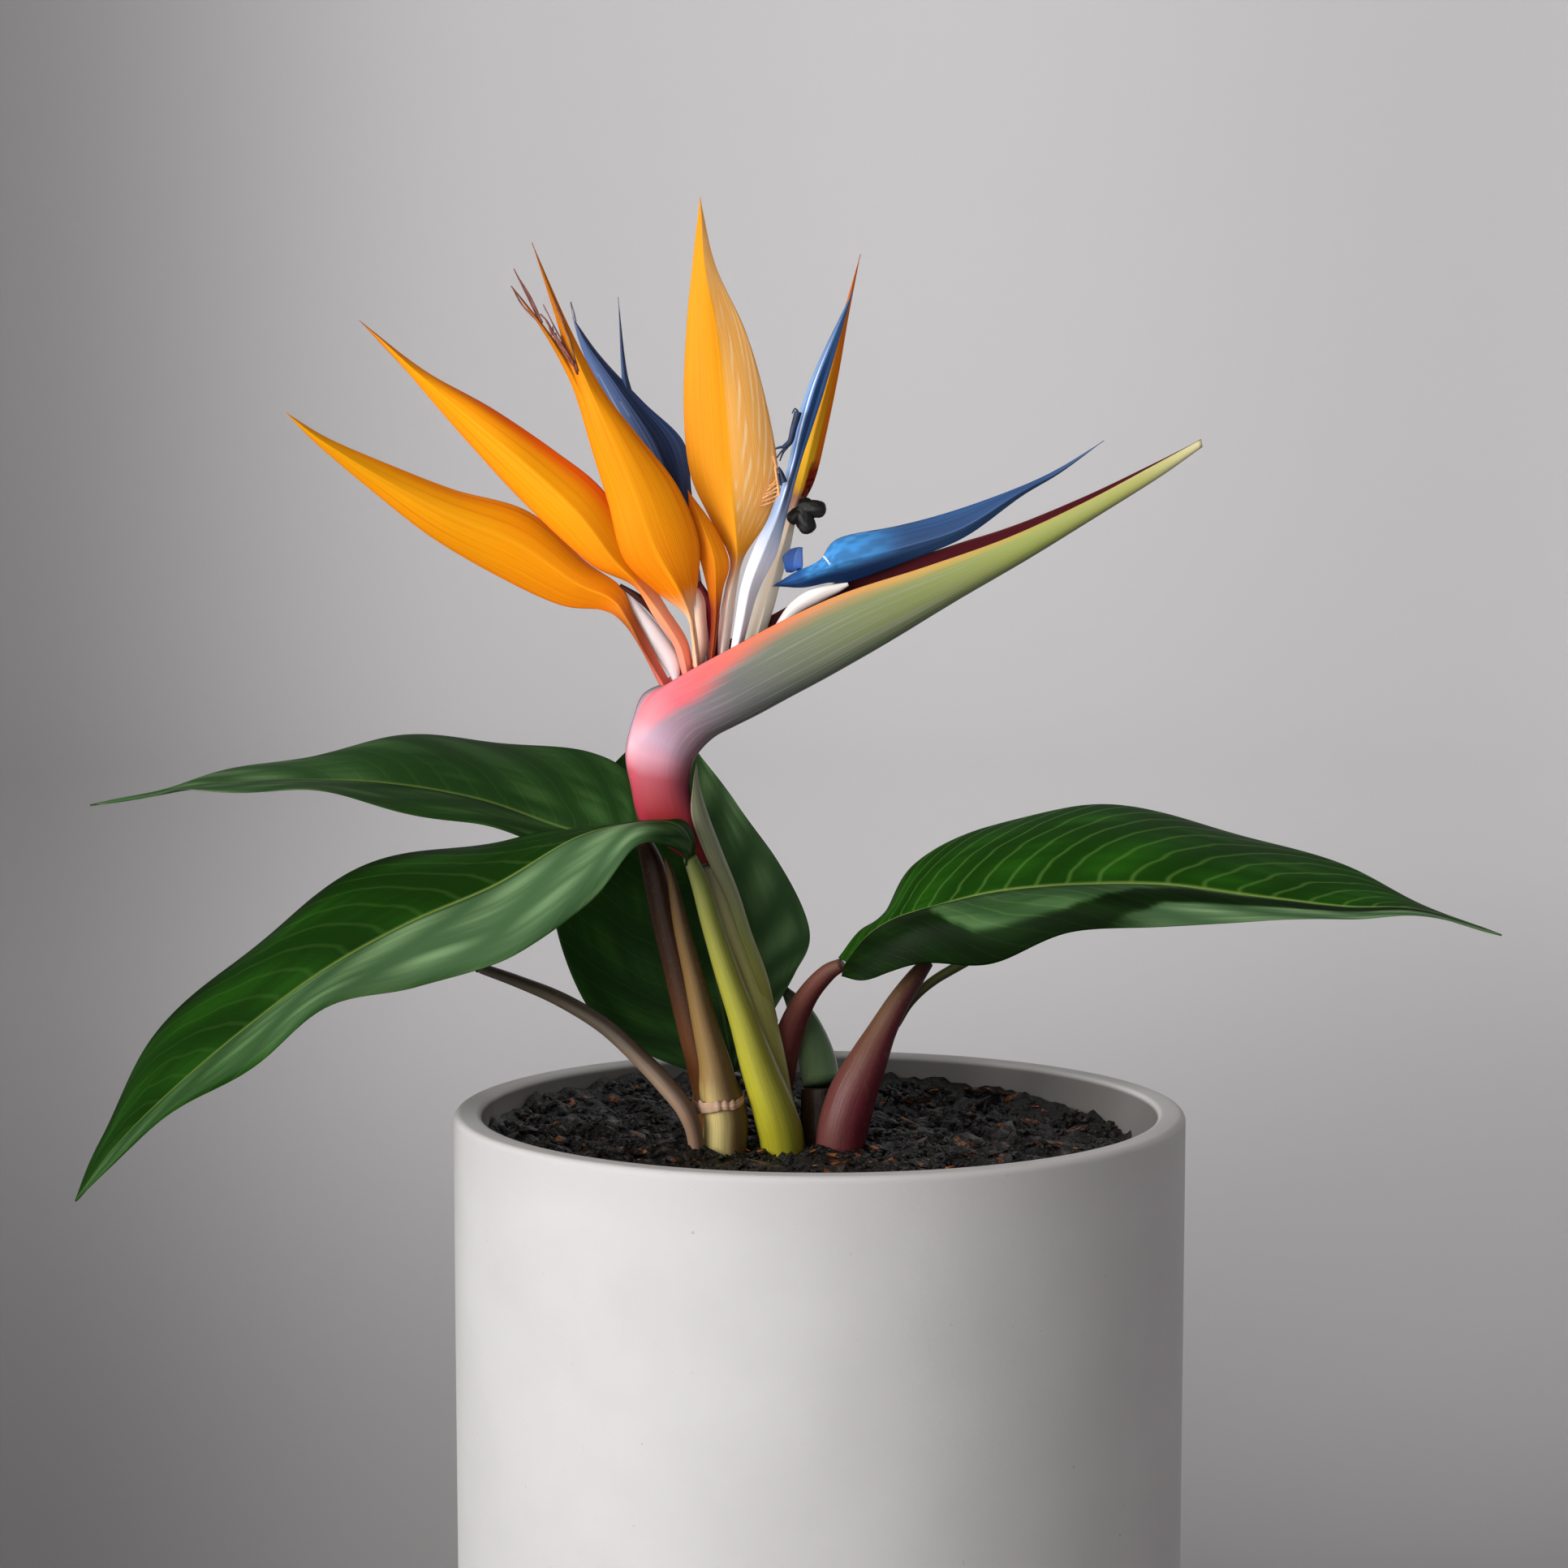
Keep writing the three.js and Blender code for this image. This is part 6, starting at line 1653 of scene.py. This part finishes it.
def collar_rows():
    """The papery collar round the tan sheath: a torn, crumpled strip whose last flap stands off."""
    rows = []
    for i in range(COLLAR_ROWS + 1):
        t = i / COLLAR_ROWS
        a = COLLAR_START + COLLAR_SWEEP * t
        tear = lattice(np.array([9 * t]), np.array([2.0]), 21)[0]
        fray = lattice(np.array([31 * t]), np.array([5.0]), 22)[0]
        low = COLLAR_LOW + 6.5 * t + 1.6 * tear
        high = low + 5.2 - 4.4 * t + 1.6 * (fray - 0.5)
        off = 0.6 + 0.9 * fray + 14 * max(t - 0.78, 0) + 10 * max(0.14 - t, 0)
        row = []
        for z in (low, (low + high) / 2, high):
            x, y, _, r = spline(SHEATH_TAN, np.array([(z - SHEATH_FOOT) / SHEATH_RISE]))[0]
            reach = r + off + 0.12 * (z - low)
            row += [x + reach * math.cos(a), y + reach * math.sin(a), z]
        rows.append(row)
    return rows


class PLANT_OT_stalks(bpy.types.Operator):
    """Raises the stalks, sheaths and their bract"""

    bl_idname = "plant.stalks"
    bl_label = "Stalks and sheaths"

    def execute(self, context):
        for name, (rows, left, right, slot) in STALKS.items():
            axis = rows if name in ABOVE_SOIL else planted(rows)
            flatten = 0.8 if name == "sheath_green" else 1.0
            part = stem(axis, *STEM_GRID, flatten=flatten, shape=fluted)
            solid(f"{name}_fine", [part], stem_material(f"{name}_skin", left, right), [name])
        part = blade(STALK_BRACT, *CLASP_GRID, thick=0.8)
        skin = petal_material("stalk_bract_skin", CLASP)
        solid("stalk_bract_blade", [part], skin, ["stalk_bract"])
        part = blade(collar_rows(), *COLLAR_GRID, thick=0.7)
        skin = petal_material("dry_paper", DRY)
        solid("dry_sheath_paper", [part], skin, ["dry_sheath"])
        return {"FINISHED"}


# Studio


def stage_material():
    """Pale paper with painted light and shade: darker round the pot, and shaded in two wedges to its left and
    right behind the pot.
    """

    def paint(t):
        x, y, _ = t.parts(t.where())
        depth = t.calc("MAXIMUM", t.calc("ADD", y, 1.7), 0.5)
        across = t.calc("DIVIDE", x, depth)
        behind = t.fade(y, -0.8, 0.3)
        away = t.fade(t.length(t.where()), -0.5, 2.0)
        # painted shade: the paper darkens towards the pot
        paper = t.blend(away, (53.7, 52.2, 52.2), (90.6, 89.7, 90.1))
        # painted light and shade: behind the pot to its right the paper is set to a mid grey
        right = t.times(t.fade(across, 0.0, 0.15), behind)
        paper = t.blend(right, paper, (78.5, 77.5, 78))
        # painted shade: behind the pot to its left the paper is darkened
        left = t.times(t.fade(across, -0.05, -0.165), behind, 0.54)
        return t.blend(left, paper, (0, 0, 0)), None

    return surface("paper", paint, roughness=0.9, Specular_IOR_Level=0.2)


def area_light(name, place, target, size, power):
    """Square soft light aimed at a point."""
    data = bpy.data.lights.new(name, "AREA")
    data.size = size
    data.energy = power
    light = bpy.data.objects.new(name, data)
    light.location = place
    light.rotation_euler = (Vector(target) - Vector(place)).to_track_quat("-Z", "Y").to_euler()
    light.visible_camera = False
    bpy.context.scene.collection.objects.link(light)
    return light


class PLANT_OT_stage(bpy.types.Operator):
    """Sets the round paper backdrop, the lights, the world and the camera"""

    bl_idname = "plant.stage"
    bl_label = "Studio"

    def execute(self, context):
        p = context.scene.plant_studio
        a = np.radians(np.linspace(-90, 0, 24))
        floor = np.stack([np.linspace(0.01, PAPER_FLAT, 8), np.zeros(8)], 1)
        fillet = np.stack([PAPER_FLAT + PAPER_CURVE * np.cos(a), PAPER_CURVE * (1 + np.sin(a))], 1)[1:]
        heights = np.linspace(PAPER_CURVE + 0.4, PAPER_TOP, 6)
        wall = np.stack([np.full(6, PAPER_FLAT + PAPER_CURVE), heights], 1)
        profile = np.concatenate([floor, fillet, wall])
        rings = turned(profile / MM, PAPER_SIDES)
        middle = np.arange(PAPER_SIDES)[None]
        paper = mesh_from("backdrop", rings.reshape(-1, 3), [quads(len(profile), PAPER_SIDES), middle])
        paper.data.materials.append(stage_material())
        lights = [
            area_light("key", (-2.3, -1.65, 0.95), AIM, 2.0, p.key),
            area_light("fill", (-0.7, -2.7, 0.9), AIM, 1.6, p.fill),
            area_light("top", (0.3, 1.3, 2.5), AIM, 1.2, p.back),
            area_light("wash", (2.6, 2.2, 2.1), WALL_AIM, 1.8, p.wash),
        ]
        world = context.scene.world or bpy.data.worlds.new("studio")
        context.scene.world = world
        world.use_nodes = True
        sky = world.node_tree.nodes["Background"].inputs
        sky["Color"].default_value = (1, 1, 1, 1)
        sky["Strength"].default_value = WORLD_LIGHT
        context.scene.view_settings.view_transform = "Standard"
        data = bpy.data.cameras.new("photo_camera")
        data.lens = p.lens
        data.sensor_width = SENSOR
        camera = bpy.data.objects.new("photo_camera", data)
        camera.location = CAMERA_PLACE
        camera.rotation_euler = (math.radians(90 - CAMERA_DIP), 0, 0)
        context.scene.collection.objects.link(camera)
        context.scene.camera = camera
        return {"FINISHED"}


class PLANT_PT_panel(bpy.types.Panel):
    """Lists the plant's pieces and their settings"""

    bl_idname = "PLANT_PT_panel"
    bl_label = "Potted bird of paradise"
    bl_space_type = "VIEW_3D"
    bl_region_type = "UI"
    bl_category = "Plant"

    def draw(self, context):
        for group_name in SETTINGS:
            box = self.layout.box()
            values = getattr(context.scene, group_name)
            for key in values.bl_rna.properties.keys():
                if key not in ("rna_type", "name"):
                    box.prop(values, key)
        for operator in OPERATORS:
            self.layout.operator(operator.bl_idname)


SETTINGS = {
    "plant_pot": PotSettings,
    "plant_leaf": LeafSettings,
    "plant_flower": FlowerSettings,
    "plant_studio": StudioSettings,
}
OPERATORS = (
    PLANT_OT_pot,
    PLANT_OT_soil,
    PLANT_OT_stalks,
    PLANT_OT_leaves,
    PLANT_OT_petals,
    PLANT_OT_spathe,
    PLANT_OT_stage,
)


def register():
    for kind in (*SETTINGS.values(), *OPERATORS, PLANT_PT_panel):
        bpy.utils.register_class(kind)
    for name, kind in SETTINGS.items():
        setattr(bpy.types.Scene, name, PointerProperty(type=kind))


def unregister():
    for name in SETTINGS:
        delattr(bpy.types.Scene, name)
    for kind in (PLANT_PT_panel, *reversed(OPERATORS), *reversed(list(SETTINGS.values()))):
        bpy.utils.unregister_class(kind)


def main():
    for thing in [t for t in bpy.context.scene.objects if t.name in ("Cube", "Light", "Camera")]:
        bpy.data.objects.remove(thing)
    register()
    for operator in OPERATORS:
        category, name = operator.bl_idname.split(".")
        getattr(getattr(bpy.ops, category), name)()


if __name__ == "__main__":
    main()
